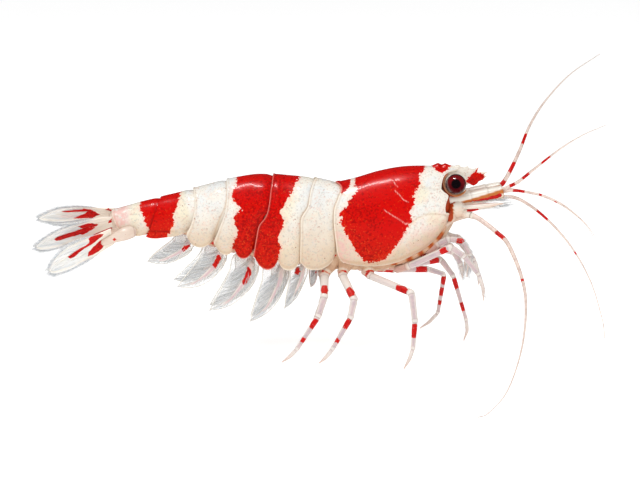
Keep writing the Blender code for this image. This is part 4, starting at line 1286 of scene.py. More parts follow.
def limb(name, points, spans, radii):
    """A jointed limb: each segment widens to a cuff at its end, the next starts narrow inside it."""
    track = Track(points)
    lengths = [0.0]
    for a, b in zip(points, points[1:]):
        lengths.append(lengths[-1] + (Vector(b) - Vector(a)).length)
    scale = track.length / lengths[-1]
    basis, knee, wrist, ankle = joints = [s * scale for s in lengths[1:5]]
    thigh, shin, hand, claw = ((a + b) / 2 for a, b in zip(joints, [*joints[1:], track.length]))
    table = list(zip((0.0, basis, thigh, knee, shin, wrist, hand, ankle, claw, track.length), radii))

    def radius(s):
        r = smooth(table, s)
        for joint in joints:
            r *= 1 + 0.1 * hump(s - joint + 0.06, 0.13) - 0.16 * hump(s - joint - 0.09, 0.07)
        return r

    # facing: how squarely the surface looks along y, the camera's line of sight
    def facing(s, t):
        _, _, side, up = track.at(s)
        return abs((side * math.cos(2 * math.pi * t) + up * math.sin(2 * math.pi * t)).y)

    # cream at the joints and the foot, and painted light: cream margins where the surface turns edge-on to
    # the camera, for light through the thin cuticle
    def cream(s, t):
        at_joints = max(0.9 * hump(s - joint, 0.14) for joint in joints)
        return max(at_joints, 0.8 * ease(ankle, ankle + 0.3, s), 0.85 * ease(0.85, 0.6, facing(s, t)))

    def dark(s, t):
        return 0.6 * max(max(hump(s - joint - 0.09, 0.025), 0.7 * hump(s - joint + 0.16, 0.02))
                         for joint in joints)

    piece = along_track(f"{name}_skin", track, radius, around=18, spacing=0.05, squash=0.86, marks=skin_marks(
        # painted light: the red is held back from those edge-on margins as well
        red=lambda s, t: within_any(s, spans) - 0.4 * ease(0.4, 0.15, facing(s, t)),
        amber=lambda s, t: max(0.5 * ease(basis + 0.15, basis - 0.15, s), 0.3 * ease(ankle, track.length, s)),
        cream=cream, dark=dark))
    return piece, track, joints


def leg_spines(track, joints, radii, random_of):
    """Short stout spines under the last two segments, and a few fine hairs all along."""
    hairs = []
    wrist, ankle = joints[2], joints[3]
    for k in range(SPINES):
        s = wrist + 0.2 + (track.length - wrist - 0.8) * k / SPINES
        place, ahead, side, up = track.at(s)
        down = (-up * 0.8 - side * 0.3).normalized()
        spine = bent_hair(place + down * 0.06, place + down * 0.2 + ahead * 0.12, (0, 0, 0), 3)
        hairs.append((spine, 0.02, (s / track.length, 0.25)))
    lengths = (0, joints[0], joints[1], wrist, ankle, track.length)
    table = list(zip(lengths, (radii[0], radii[1], radii[3], radii[5], radii[7], radii[9])))
    for _ in range(LIMB_HAIRS):
        s = random_of.uniform(0.3, track.length - 0.5)
        place, ahead, side, up = track.at(s)
        turn = random_of.uniform(0, 2 * math.pi)
        out = side * math.cos(turn) + up * math.sin(turn)
        r = smooth(table, s) * 0.85
        reach = random_of.uniform(0.1, 0.2)
        tip = place + out * (r + reach * 0.6) + ahead * reach
        hair = bent_hair(place + out * r * 0.8, tip, out * 0.02, 3)
        hairs.append((hair, 0.006, (s / track.length, turn / 6.3)))
    return hairs


def brush(track, start, end, count, reach, spread, radius, facing, random_of):
    """A brush of hairs over a stretch of a limb, leaning towards its tip."""
    hairs = []
    for _ in range(count):
        s = random_of.uniform(start, end)
        place, ahead, side, up = track.at(s)
        turn = random_of.uniform(0, 2 * math.pi)
        out = side * math.cos(turn) + up * math.sin(turn)
        if facing and out.dot(Vector(facing)) < -0.2:
            out = -out
        long = reach * random_of.uniform(0.6, 1.1)
        tip = place + out * (radius + long * spread) + ahead * long
        hair = bent_hair(place + out * radius, tip, out * long * 0.08, 4)
        hairs.append((hair, size("bristle") * 0.7, (s / track.length, turn / 6.3)))
    return hairs


# --- Underside -----------------------------------------------------------------------------------
BREAST_PATH = [(-1.5, 0, 5.9), (-1.0, 0, 5.78), (0.4, 0, 5.7), (2.0, 0, 5.7), (3.4, 0, 5.72), (4.7, 0, 6.05),
               (5.6, 0, 6.5)]
MOUTH_LOBES = [  # a line and the radius at its middle
    ([(5.5, 0.35, 6.45), (6.2, 0.75, 7.1), (6.8, 0.85, 7.85), (7.3, 0.75, 8.5)], 0.34),
    ([(5.6, 0.2, 6.4), (6.3, 0.4, 7.0), (7.0, 0.45, 7.7), (7.45, 0.4, 8.5)], 0.3),
    ([(5.9, 0.1, 6.5), (6.6, 0.2, 7.1), (7.3, 0.3, 7.95), (7.8, 0.3, 8.75)], 0.2),
]
GILL_EDGE = [(2.4, 1.2, 5.72), (4.4, 1.25, 6.08), (5.5, 1.25, 6.55), (6.35, 1.15, 7.15), (6.95, 1.0, 7.9),
             (7.15, 0.9, 8.4)]
GILL_SPOTS = [(1.3, 1.65), (2.3, 2.7), (3.15, 3.5), (3.95, 4.35), (4.7, 5.3)]  # rusty spans along the edge
COXA_TOP = 6.3


def coxa(points):
    """The stout hip joint of a walking leg, with a red line round its end."""
    hip, basis = Vector(points[0]), Vector(points[1])
    top = Vector((hip.x + 0.3, hip.y * 0.7, COXA_TOP))
    line = Track([top, hip.lerp(top, 0.45) + Vector((0.08, 0, 0)), hip.lerp(basis, 0.75)], curved=True)
    end = line.length
    marks = skin_marks(red=lambda s, t: 0.045 - abs(end - 0.12 - s),
                       cream=lambda s, t: 0.6 * hump(end - 0.25 - s, 0.06))
    return along_track("coxa", line, lambda s: 0.74 - 0.44 * ease(0.0, end, s), marks, around=20, cap=0.1)


def breastplate():
    """The ribbed underside between the legs, with the legs' hip joints."""
    breast = along_track("breast", Track(BREAST_PATH, curved=True), lambda s: 0.42 + 0.05 * math.cos(s * 4.5),
                         around=20, cap=0.3, marks=skin_marks())
    widen(breast, 2.2)
    return joined("breastplate", [breast, *(coxa(points) for points, _ in WALKING_LEGS.values())])


def mouthparts():
    """Three lobes on each side under the head, and the soft edge below the carapace."""
    pieces = []
    for side, _ in SIDES:
        for points, thick in MOUTH_LOBES:
            track = Track(sided(points, side), curved=True)
            pieces.append(along_track(
                "mouth", track, lambda s: thick * (0.6 + 0.5 * math.sin(math.pi * s / track.length)),
                marks=skin_marks(cream=lambda s, t: 0.25), around=14))
        edge = Track(sided(GILL_EDGE, side), curved=True)
        pieces.append(along_track("gill_edge", edge, lambda s: 0.2, around=14, spacing=0.05, marks=skin_marks(
            amber=lambda s, t: 0.35 + 1.15 * ease(-0.12, 0.12, within_any(s, GILL_SPOTS)),
            cream=lambda s, t: 0.2)))
    return joined("mouthpart_lobes", pieces)


# --- Swimmerets ----------------------------------------------------------------------------------
# Root, tip and breadth on each side, front pair first, and how far each bows forward.
SWIMMERETS = {
    "right": [
        ((-2.15, 0.55, 5.6), (-3.3, 1.25, 2.82), 0.86),
        ((-3.6, 0.55, 5.55), (-5.52, 1.65, 2.02), 1.34),
        ((-5.6, 0.55, 5.95), (-8.2, 1.65, 2.74), 1.42),
        ((-7.6, 0.5, 6.55), (-10.3, 1.55, 4.3), 1.35),
        ((-9.65, 0.45, 7.1), (-12.3, 1.35, 5.98), 1.1),
    ],
    "left": [
        ((-1.4, 0.55, 5.7), (-1.6, 1.25, 3.7), 0.85),
        ((-3.4, 0.5, 5.5), (-4.6, 1.4, 2.5), 1.0),
        ((-5.6, 0.55, 5.95), (-7.2, 1.65, 2.7), 1.3),
        ((-7.6, 0.5, 6.55), (-9.5, 1.55, 4.1), 1.2),
        ((-9.65, 0.45, 7.1), (-11.8, 1.35, 5.6), 1.0),
    ],
}
BOWS = (0.5, 0.8, 1.0, 1.0, 0.6)
# Edges and fleshy axis of a leaf: share along, and mm across for a breadth of 1.
REAR_EDGE = [(0.0, -0.6), (0.13, -0.74), (0.35, -0.45), (0.66, -0.26), (0.9, -0.14), (1.0, -0.08)]
AXIS = [(0.0, 0.05), (0.23, 0.36), (0.47, 0.41), (0.69, 0.37), (0.88, 0.12), (1.0, -0.07)]
FRONT_EDGE = [(0.0, 0.5), (0.12, 0.68), (0.28, 0.76), (0.48, 0.78), (0.72, 0.6), (0.9, 0.24), (1.0, -0.06)]
SWIMMERET_RED = ((0.0, 0.4), None, (0.1, 0.36), (0.05, 0.28), (0.0, 0.2))  # shares of the length
INNER_LEAF_TURN = (0.02, 0.03, 0.04, 0.13, 0.03)
INNER_LEAF_SHARE, INNER_LEAF_INSET = 0.93, 0.22
LEAF_ROLL = 72
STRANDS = 200  # tried for on each leaf
STRAND_STEPS = 4


def swimmeret_leaf(index, side, label, inner, random_of):
    """One feathery leaf with a fleshy axis, and the strands that sweep back from it."""
    root, tip, breadth = SWIMMERETS[label][index]
    root, tip = (Vector(p) for p in sided([root, tip], side))
    turn, share, inset = (INNER_LEAF_TURN[index], INNER_LEAF_SHARE, INNER_LEAF_INSET) if inner else (0, 1, 0)
    line = tip - root
    fall = Vector((line.x - line.length * turn, line.y, line.z + line.length * turn * 0.6))
    aside = Vector((0, -side * inset, 0))
    place, length = in_blade(root + aside, root + fall * share + aside, side * LEAF_ROLL)
    front = 1 if (place(0, 1) - place(0, 0)).x > 0 else -1
    bow = 0.3 * (BOWS[index] - 1)

    def bent(table):
        return [(t, front * (b + bow * math.sin(math.pi * t)) * breadth) for t, b in table]

    rear, axis, fore = bent(REAR_EDGE), bent(AXIS), bent(FRONT_EDGE)
    low, high = (rear, fore) if front > 0 else (fore, rear)
    first, near = index == 0, side < 0
    span = SWIMMERET_RED[index] if inner != near and (near or first) else None
    half = 0.13 * breadth

    def on_axis(a, b):
        return half * (1.15 - a / length) - abs(b - smooth(axis, a / length))

    def red(a, b, edge, across):
        if first and near:
            return 0.16 - math.hypot(0.6 * (a - 0.5), b + front * 0.2)
        return min(on_axis(a, b) + 0.02, a - span[0] * length, span[1] * length - a) if span else -1.0

    def rosy(a, b, edge, across):
        return max(1.3 * ease(-0.03, 0.05, on_axis(a, b)), 0.0 if near or not first else 0.75)

    def cream(a, b, edge, across):
        rims = 0.8 * max(hump(on_axis(a, b), 0.035), hump(edge - 0.04, 0.03))
        return max(rims, 0.55 * ease(0.24 * length, 0.04 * length, a))

    def clear(a, b, edge, across):
        return 0.84 * ease(0.03, -0.06, on_axis(a, b)) * ease(0.02, 0.07, edge)

    def strand(a, b, edge, across):
        return a - 1.7 * abs(b - smooth(axis, a / length)) + 3.0 * (index + 5 * inner)

    marks = [("red", red), ("rosy", rosy), ("cream", cream), ("clear", clear), ("strand", strand)]
    piece = leaf(f"leaf_{label}_{index}_{inner:d}", place, length, low, high, 0.1, marks, wall=0.035,
                 across=28, along=60)
    hairs = []
    for _ in range(STRANDS):
        start = random_of.uniform(0.0, 0.93)
        if span and span[0] < start + 0.03 and start < span[1] + 0.02 and random_of.random() < 0.9:
            continue
        to_rear = random_of.random() < 0.62
        edge = rear if to_rear else fore
        reach = random_of.uniform(0.3, 0.5) * (1.0 if to_rear else 0.8)
        stop = min(start + reach * (1.1 - start * 0.4), 1.0)
        a, a_end = start * length, stop * length
        b = smooth(axis, start) + front * random_of.uniform(-0.1, 0.1) * half
        b_end = smooth(edge, stop) * random_of.uniform(0.8, 1.12)
        lift = random_of.uniform(-0.07, 0.07)
        shares = [step / STRAND_STEPS for step in range(STRAND_STEPS + 1)]
        points = [place(a + (a_end - a) * q, b + (b_end - b) * q ** 1.25, lift * math.sin(q * 3) + 0.05)
                  for q in shares]
        patch = (0.05 + 0.1 * (2 * index + inner) + 0.08 * start,
                 0.05 + 0.4 * (side > 0) + 0.4 * random_of.random())
        hairs.append((points, size("bristle") * 1.6, patch))
    return piece, hairs


def swimmeret(index, side, label, random_of):
    """An outer and an inner leaf on a short stem."""
    pieces, hairs = [], []
    for inner in (False, True):
        piece, more = swimmeret_leaf(index, side, label, inner, random_of)
        pieces.append(piece)
        hairs += more
    root, tip = (Vector(p) for p in sided(SWIMMERETS[label][index][:2], side))
    base = Track([root + Vector((0, -side * 0.1, 0.35)), root, root.lerp(tip, 0.12)], curved=True)
    pieces.append(along_track(f"peduncle_{label}_{index}", base, lambda s: 0.15, around=12, marks=[
        ("red", lambda s, t: -1.0), ("rosy", lambda s, t: 0.2), ("cream", lambda s, t: 0.0),
        ("clear", lambda s, t: 0.5), ("strand", lambda s, t: 0.0)]))
    return joined(f"swimmeret_leaf_{index + 1}_{label}", pieces), hairs


# --- Tail fan ------------------------------------------------------------------------------------
TELSON_RED = [
    [(3.55, 0.19), (2.91, 0.33), (2.32, 0.38), (2.05, 0.4), (1.98, 0.5), (1.73, 0.38), (1.5, 0.31),
     (1.22, 0.18), (1.52, 0.1), (2.05, 0.12), (2.57, 0.15), (3.1, 0.13)],
    [(2.8, -0.4), (2.38, -0.22), (1.95, -0.02), (1.76, 0.12), (1.4, 0.14), (1.18, 0.04), (0.9, -0.12),
     (1.2, -0.23), (1.45, -0.38), (1.86, -0.37), (2.28, -0.4)],
    [(0.6, 0.36), (0.37, 0.44), (0.0, 0.3), (0.1, 0.12), (0.39, 0.18)],
]
INNER_RED = [
    [(2.28, 0.72), (1.97, 0.79), (1.61, 0.82), (1.26, 0.65), (0.88, 0.36), (1.1, 0.27), (1.4, 0.29),
     (1.64, 0.3), (1.94, 0.33), (2.05, 0.44)],
    [(3.92, 0.01), (3.57, 0.2), (3.15, 0.26), (2.61, 0.24), (2.12, 0.32), (1.63, 0.36), (1.06, 0.24),
     (1.3, 0.1), (1.68, -0.02), (2.05, -0.13), (2.16, -0.04), (2.53, -0.1), (3.01, -0.11), (3.49, -0.15),
     (3.79, -0.13)],
    [(0.32, 0.26), (0.03, 0.64), (-0.16, 0.7), (-0.14, 0.4), (0.02, 0.32)],
]
OUTER_RED = [
    [(3.28, 0.17), (2.94, 0.33), (2.48, 0.41), (2.01, 0.46), (1.62, 0.55), (1.59, 0.77), (1.64, 0.98),
     (1.4, 1.05), (0.89, 0.98), (0.52, 0.78), (0.67, 0.56), (0.94, 0.5), (1.23, 0.4), (1.51, 0.32),
     (1.85, 0.27), (2.33, 0.16), (2.76, 0.01), (3.09, -0.01)],
    [(1.98, -0.38), (1.83, -0.12), (1.44, 0.11), (1.08, 0.21), (0.72, 0.36), (0.28, 0.3), (0.42, 0.08),
     (0.72, -0.1), (0.84, -0.25), (1.2, -0.35), (1.59, -0.38)],
    [(0.03, 0.17), (-0.17, 0.2), (-0.36, 0.02), (-0.21, -0.07), (0.0, -0.05)],
]
TELSON_EDGES = (
    [(0.0, -0.36), (0.12, -0.3), (0.29, -0.38), (0.48, -0.52), (0.6, -0.6), (0.75, -0.62), (0.86, -0.58),
     (0.93, -0.5), (0.975, -0.4), (1.0, -0.28)],
    [(0.0, 0.4), (0.16, 0.47), (0.3, 0.6), (0.45, 0.63), (0.57, 0.61), (0.69, 0.54), (0.8, 0.36),
     (0.89, 0.12), (0.96, -0.1), (0.985, -0.2), (1.0, -0.28)],
)
INNER_EDGES = (
    [(0.0, 0.03), (0.21, -0.19), (0.33, -0.31), (0.5, -0.46), (0.68, -0.59), (0.8, -0.62), (0.89, -0.56),
     (0.95, -0.42), (0.985, -0.26), (1.0, -0.08)],
    [(0.0, 0.9), (0.13, 1.08), (0.27, 1.02), (0.42, 1.01), (0.56, 0.97), (0.68, 0.88), (0.77, 0.72),
     (0.86, 0.5), (0.93, 0.26), (0.98, 0.06), (1.0, -0.08)],
)
OUTER_EDGES = (
    [(0.0, -0.29), (0.18, -0.41), (0.32, -0.52), (0.54, -0.6), (0.75, -0.64), (0.85, -0.58),
     (0.94, -0.45), (0.985, -0.28), (1.0, -0.1)],
    [(0.0, 0.95), (0.15, 0.96), (0.35, 1.03), (0.5, 1.07), (0.6, 1.06), (0.7, 0.98), (0.78, 0.84),
     (0.87, 0.6), (0.94, 0.3), (0.98, 0.08), (1.0, -0.1)],
)
TAIL_FAN = {  # root, tip, roll, lower and upper edge, red streaks, whether the edges are turned over
    "telson": ((-14.55, 0.0, 9.0), (-19.6, 0.0, 8.85), 58, TELSON_EDGES, TELSON_RED, False),
    "uropod_inner_right": ((-14.6, -0.72, 8.22), (-19.5, -2.2, 7.22), 58, INNER_EDGES, INNER_RED, False),
    "uropod_outer_right": ((-14.5, -1.25, 7.42), (-18.55, -3.2, 5.85), 72, OUTER_EDGES, OUTER_RED, False),
    "uropod_inner_left": ((-14.6, 0.8, 8.5), (-19.0, 2.3, 8.22), -30, INNER_EDGES, INNER_RED, True),
    "uropod_outer_left": ((-14.5, 1.25, 7.45), (-18.4, 3.5, 6.7), -40, OUTER_EDGES, OUTER_RED, True),
}
FRINGE_HAIRS = 900  # tried for around each blade
RIM_STEPS = 120  # along each edge of a blade
UROPOD_BASE_PATH = [(-13.05, 0.85, 7.98), (-13.7, 1.1, 7.85), (-14.4, 1.3, 7.6), (-15.3, 1.55, 7.25)]


def tail_blade(name, root, tip, roll, edges, reds, turned, random_of, patch):
    """One blade of the tail fan with its ribs, streaks and fringe."""
    place, length = in_blade(root, tip, roll)
    low, high = edges
    if turned:
        low, high = mirrored(high), mirrored(low)
        reds = [mirrored(outline) for outline in reds]

    def red(a, b, edge, across):
        return SMALL_FIRMNESS * max(inside_by((a, b), outline) for outline in reds)

    def cream(a, b, edge, across):
        side_ribs = 0.6 * max(hump(across - 0.28, 0.02), hump(across - 0.72, 0.02))
        ribs = max(hump(across - 0.5, 0.035), side_ribs)
        fans = 0.45 * max(hump(across - at, 0.012) for at in (0.14, 0.39, 0.61, 0.86)) * ease(1.0, 2.0, a)
        rim_and_root = max(1.1 * hump(edge - 0.1, 0.05), ease(2.4, 0.8, a) * 0.85)
        return max(ribs * ease(length, length * 0.75, a), fans, rim_and_root)

    def rosy(a, b, edge, across):
        return 0.4 * ease(2.2, 0.6, a) + 0.6 * hump(edge - 0.02, 0.04) * ease(2.6, 1.6, a)

    def clear(a, b, edge, across):
        return 0.42 * ease(1.2, 3.0, a) + 0.2 * ease(0.12, 0.05, edge) * ease(1.5, 2.5, a)

    camber = 0.1 if name == "telson" else 0.16
    blade = leaf(f"{name}_blade", place, length, low, high, camber, across=56, along=110, wall=0.06, marks=[
        ("red", red), ("cream", cream), ("rosy", rosy), ("clear", clear),
        ("strand", lambda a, b, edge, across: 0.9 * b - 0.12 * a)],
        ribs=((0.5, 0.06, 0.06), (0.28, 0.04, 0.03), (0.72, 0.04, 0.03)))
    shares = [math.sin(math.pi / 2 * k / RIM_STEPS) for k in range(RIM_STEPS + 1)]
    outline = [(t * length, smooth(low, t)) for t in shares]
    outline += [(t * length, smooth(high, t)) for t in shares[-2::-1]]
    rim = Track([(a, b, 0) for a, b in outline], rounding=0.0)
    hairs = []
    for k in range(FRINGE_HAIRS):
        at, ahead, _, _ = rim.at(rim.length * (k + random_of.random()) / FRINGE_HAIRS)
        t = at.x / length
        reach = random_of.uniform(0.2, 0.3) * ease(0.16, 0.5, t)
        if reach < 0.03:
            continue
        out = Vector((ahead.y, -ahead.x)) + Vector((0.35 + random_of.uniform(-0.15, 0.15), 0))
        tip = place(at.x + out.x * reach, at.y + out.y * reach, random_of.uniform(-0.03, 0.03))
        hair = bent_hair(place(at.x - 0.02, at.y), tip, (0, 0, 0), 3)
        hairs.append((hair, size("bristle"), (patch + 0.15 * t, 0.1 + 0.8 * k / FRINGE_HAIRS)))
    return blade, hairs


def tail_root():
    """Soft end of the body inside the last plate, between the blades' roots."""
    return knob("tail_root", (-14.5, 0, 8.55), (0.42, 0.75, 0.6), marks=skin_marks(
        amber=lambda a, p: 0.25, cream=lambda a, p: 0.6))


def uropod_base(side, label):
    """The short thick joint that carries an inner and an outer blade, with a red patch outside."""
    return along_track(
        f"uropod_joint_{label}", Track(sided(UROPOD_BASE_PATH, side), curved=True),
        lambda s: 0.24 + 0.2 * hump(s - 0.7, 0.8), around=20, spacing=0.05, cap=0.3, marks=skin_marks(
            red=lambda s, t: 0.12 - math.hypot(s - 1.6, 2 * (t - 0.25 + 0.25 * side)),
            amber=lambda s, t: 0.25, cream=lambda s, t: 0.7, dark=lambda s, t: 0.5 * hump(s - 0.2, 0.04)))


# --- Operators -----------------------------------------------------------------------------------
class ShrimpOperator:
    """Shared options of the building steps"""
    bl_options = {"REGISTER", "UNDO"}


class SHRIMP_OT_abdomen(ShrimpOperator, bpy.types.Operator):
    """Builds the six overlapping plates of the abdomen"""
    bl_idname = "shrimp.abdomen"
    bl_label = "Abdomen plates"

    def execute(self, context):
        for index in range(PLATES):
            plate = abdomen_plate(index)
            give_wall(plate)
            slot = "shell_red" if index in RED_PLATES else "shell_white"
            dress(plate, paint("shell"), slot, f"abdomen_segment_{index + 1}")
        return {"FINISHED"}


class SHRIMP_OT_carapace(ShrimpOperator, bpy.types.Operator):
    """Builds the shell of head and thorax and its rostrum"""
    bl_idname = "shrimp.carapace"
    bl_label = "Carapace and rostrum"

    def execute(self, context):
        carapace = carapace_sheet()
        give_wall(carapace)
        dress(carapace, paint("shell"), "shell_red", "carapace")
        dress(rostrum_blade(), paint("shell"), "shell_red", "rostrum")
        return {"FINISHED"}


class SHRIMP_OT_flesh(ShrimpOperator, bpy.types.Operator):
    """Builds the soft body inside the shell, the breastplate and the mouthparts"""
    bl_idname = "shrimp.flesh"
    bl_label = "Soft body"

    def execute(self, context):
        dress(inner_body(), paint("flesh"), "flesh")
        dress(breastplate(), paint("flesh"), "flesh", "thorax_underside")
        dress(mouthparts(), paint("flesh"), "flesh", "mouthparts")
        return {"FINISHED"}


class SHRIMP_OT_head(ShrimpOperator, bpy.types.Operator):
    """Builds eyes, sockets, antennule stalks, antenna bases and scales"""
    bl_idname = "shrimp.head"
    bl_label = "Eyes and head"

    def execute(self, context):
        for side, label in SIDES:
            dress(eye(side, label), paint("eye"), "eye", f"eye_{label}", sharp=SMOOTH)
            dress(orbit(side, label), paint("face"), "flesh", f"eyestalk_{label}", sharp=SMOOTH)
            dress(antennule_stalk(side, label), paint("face"), "limb", f"antennule_stalk_{label}",
                  sharp=SMOOTH)
            dress(antenna_base(side, label), paint("face"), "flesh", f"antenna_base_{label}", sharp=SMOOTH)
            dress(antenna_scale(side, label), paint("face"), "limb", f"antenna_scale_{label}")
        dress(cheeks(), paint("face"), "flesh", sharp=SMOOTH)
        random_of = random.Random(3)
        hairs = scale_fringe(-1, random_of) + scale_fringe(1, random_of)
        bristles("scale_bristles", hairs, paint("fringe"), "feeler")
        return {"FINISHED"}


class SHRIMP_OT_feelers(ShrimpOperator, bpy.types.Operator):
    """Builds the six long feelers"""
    bl_idname = "shrimp.feelers"
    bl_label = "Feelers"

    def execute(self, context):
        for name, (points, spans, root) in FEELERS.items():
            nodes = [f"{name}_near", f"{name}_far"] if name.startswith("antenna_") else [name]
            dress(feeler(name, points, spans, root), paint("feeler"), "feeler", *nodes, sharp=SMOOTH)
        return {"FINISHED"}


class SHRIMP_OT_legs(ShrimpOperator, bpy.types.Operator):
    """Builds the walking legs and the small front limbs with their spines and brushes"""
    bl_idname = "shrimp.legs"
    bl_label = "Legs"

    def execute(self, context):
        random_of = random.Random(11)
        hairs = []
        for name, (points, spans) in WALKING_LEGS.items():
            piece, track, joints = limb(name, points, spans, LEG_RADII)
            dress(piece, paint("limb"), "limb", name, sharp=SMOOTH)
            hairs += leg_spines(track, joints, LEG_RADII, random_of)
        for side, label in SIDES:
            for name, (points, spans) in FRONT_LIMBS.items():
                if side > 0:
                    lift = LEFT_LIMB_LIFT[name]
                    points = [(x, y, z + (lift if k > 1 else 0.0)) for k, (x, y, z) in enumerate(points)]
                    spans = spans if name == "leg_2" else []
                points = sided(points, side)
                piece, track, joints = limb(f"{name}_{label}", points, spans, FRONT_RADII)
                dress(piece, paint("limb"), "limb", f"{name}_{label}", sharp=SMOOTH)
                hairs += leg_spines(track, joints, FRONT_RADII, random_of)
                start, gap, *kind = BRUSHES[name]
                hairs += brush(track, joints[start], track.length - gap, *kind, random_of)
        bristles("leg_bristles", hairs, paint("bristle"), "feeler")
        return {"FINISHED"}


class SHRIMP_OT_swimmerets(ShrimpOperator, bpy.types.Operator):
    """Builds the ten feathery swimmerets"""
    bl_idname = "shrimp.swimmerets"
    bl_label = "Swimmerets"

    def execute(self, context):
        random_of = random.Random(5)
        hairs = []
        for side, label in SIDES:
            for index in range(5):
                piece, more = swimmeret(index, side, label, random_of)
                dress(piece, paint("leaf"), "fin", f"swimmeret_{index + 1}_{label}", sharp=SMOOTH)
                hairs += more
        bristles("swimmeret_bristles", hairs, paint("bristle"), "fin")
        return {"FINISHED"}


class SHRIMP_OT_tail(ShrimpOperator, bpy.types.Operator):
    """Builds the telson, the uropods and their fringe"""
    bl_idname = "shrimp.tail"
    bl_label = "Tail fan"

    def execute(self, context):
        random_of = random.Random(7)
        hairs = []
        for k, (name, (root, tip, roll, edges, reds, turned)) in enumerate(TAIL_FAN.items()):
            piece, more = tail_blade(name, root, tip, roll, edges, reds, turned, random_of, 0.02 + 0.19 * k)
            dress(piece, paint("fin"), "fin", name)
            hairs += more
        bristles("tail_bristles", hairs, paint("fringe"), "fin")
        dress(tail_root(), paint("face"), "flesh", sharp=SMOOTH)
        for side, label in SIDES:
            dress(uropod_base(side, label), paint("face"), "limb", f"uropod_base_{label}", sharp=SMOOTH)
        return {"FINISHED"}


# --- Stage ---------------------------------------------------------------------------------------
CAMERA_AIM, CAMERA_AWAY = Vector((-1.0, 0, 7.2)), 140
CAMERA_TILT = math.radians(11)  # downwards
CAMERA_LENS, CAMERA_SENSOR = 119.3, 36
FLOOR_GLOW = 0.42
SKY_LIGHT, SKY_IN_GLOSS = 0.62, 0.05
LIGHTS = {  # place, aim, width, depth, power, turn, whether it shows in gloss, whether it lights
    "strip": ((-45, -30, 200), (-2, 0, 8), 80, 20, 0.26, 0.3, True, False),
    "top": ((-4, -14, 200), (-2, 0, 8), 150, 80, 0.09, 0.0, False, True),
    "key": ((-60, -150, 190), (0, 0, 8), 150, 150, 0.16, 0.0, False, True),
    "fill": ((120, -140, 40), (0, 0, 8), 120, 120, 0.03, 0.0, False, True),
}


def area_light(name, place, aim, wide, deep, power, turn, shows, lights):
    """A rectangular lamp aimed at a point, sizes in millimetres."""
    light = bpy.data.lights.new(name, "AREA")
    light.shape = "RECTANGLE"
    light.size, light.size_y = wide * MM, deep * MM
    light.energy = power
    lamp = bpy.data.objects.new(name, light)
    bpy.context.scene.collection.objects.link(lamp)
    lamp.location = Vector(place) * MM
    lamp.rotation_euler = (Vector(aim) - Vector(place)).to_track_quat("-Z", "Y").to_euler()
    if turn:
        lamp.rotation_euler.rotate_axis("Z", turn)
    lamp.visible_glossy = shows
    lamp.visible_diffuse = lights


def add_floor():
    """A wide pale floor that glows a little, so that it stays near white."""
    deselect()
    bpy.ops.mesh.primitive_plane_add(size=4.0, location=(0, 0, 0))
    floor = bpy.context.active_object
    floor.name = "floor"
    p = Paint("floor", roughness=0.7, specular=0.1)
    p.shader.inputs["Emission Color"].default_value = (1, 1, 1, 1)
    p.shader.inputs["Emission Strength"].default_value = FLOOR_GLOW
    floor.data.materials.append(p.done(p.mix(p.noise(0.02), colour("floor"), colour("floor_pale"))))
    floor.visible_glossy = False


def add_sky(scene):
    """Even white light, much weaker in reflections."""
    world = bpy.data.worlds.new("studio")
    world.use_nodes = True
    tree = world.node_tree
    sky = tree.nodes["Background"]
    sky.inputs[0].default_value = (1, 1, 1, 1)
    path = tree.nodes.new("ShaderNodeLightPath")
    dim = tree.nodes.new("ShaderNodeMapRange")
    dim.inputs["To Min"].default_value, dim.inputs["To Max"].default_value = SKY_LIGHT, SKY_IN_GLOSS
    tree.links.new(path.outputs["Is Glossy Ray"], dim.inputs["Value"])
    tree.links.new(dim.outputs["Result"], sky.inputs[1])
    scene.world = world


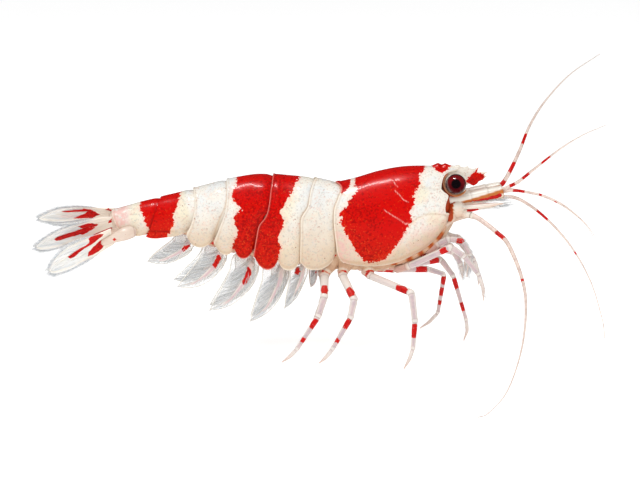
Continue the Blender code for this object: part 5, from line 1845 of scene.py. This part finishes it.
def add_camera(scene):
    """The camera, to the animal's right and slightly above."""
    data = bpy.data.cameras.new("camera")
    data.sensor_width = CAMERA_SENSOR
    data.lens = CAMERA_LENS
    data.clip_start, data.clip_end = 0.005, 10.0
    camera = bpy.data.objects.new("camera", data)
    scene.collection.objects.link(camera)
    back = Vector((0, -math.cos(CAMERA_TILT), math.sin(CAMERA_TILT)))
    camera.location = (CAMERA_AIM + back * CAMERA_AWAY) * MM
    camera.rotation_euler = (math.radians(90) - CAMERA_TILT, 0, 0)
    scene.camera = camera


class SHRIMP_OT_stage(ShrimpOperator, bpy.types.Operator):
    """Adds a pale floor, soft studio light and the camera"""
    bl_idname = "shrimp.stage"
    bl_label = "Stage"

    def execute(self, context):
        add_floor()
        add_sky(context.scene)
        for name, settings in LIGHTS.items():
            area_light(name, *settings)
        add_camera(context.scene)
        context.scene.view_settings.view_transform = "Standard"
        return {"FINISHED"}


STEPS = (SHRIMP_OT_abdomen, SHRIMP_OT_carapace, SHRIMP_OT_flesh, SHRIMP_OT_head, SHRIMP_OT_feelers,
         SHRIMP_OT_legs, SHRIMP_OT_swimmerets, SHRIMP_OT_tail, SHRIMP_OT_stage)


class SHRIMP_PT_panel(bpy.types.Panel):
    """Lists the settings and the building steps"""
    bl_idname = "SHRIMP_PT_panel"
    bl_label = "Shrimp"
    bl_space_type = "VIEW_3D"
    bl_region_type = "UI"
    bl_category = "Shrimp"

    def draw(self, context):
        for settings in (context.scene.shrimp_colours, context.scene.shrimp_sizes):
            box = self.layout.box()
            for key in settings.bl_rna.properties.keys():
                if key not in ("rna_type", "name"):
                    box.prop(settings, key)
        for step in STEPS:
            self.layout.operator(step.bl_idname)


CLASSES = (ShrimpColours, ShrimpSizes, *STEPS, SHRIMP_PT_panel)


def register():
    for cls in CLASSES:
        bpy.utils.register_class(cls)
    bpy.types.Scene.shrimp_colours = PointerProperty(type=ShrimpColours)
    bpy.types.Scene.shrimp_sizes = PointerProperty(type=ShrimpSizes)


def unregister():
    del bpy.types.Scene.shrimp_sizes
    del bpy.types.Scene.shrimp_colours
    for cls in reversed(CLASSES):
        bpy.utils.unregister_class(cls)


def main():
    register()
    bpy.ops.shrimp.abdomen()
    bpy.ops.shrimp.carapace()
    bpy.ops.shrimp.flesh()
    bpy.ops.shrimp.head()
    bpy.ops.shrimp.feelers()
    bpy.ops.shrimp.legs()
    bpy.ops.shrimp.swimmerets()
    bpy.ops.shrimp.tail()
    bpy.ops.shrimp.stage()


if __name__ == "__main__":
    main()
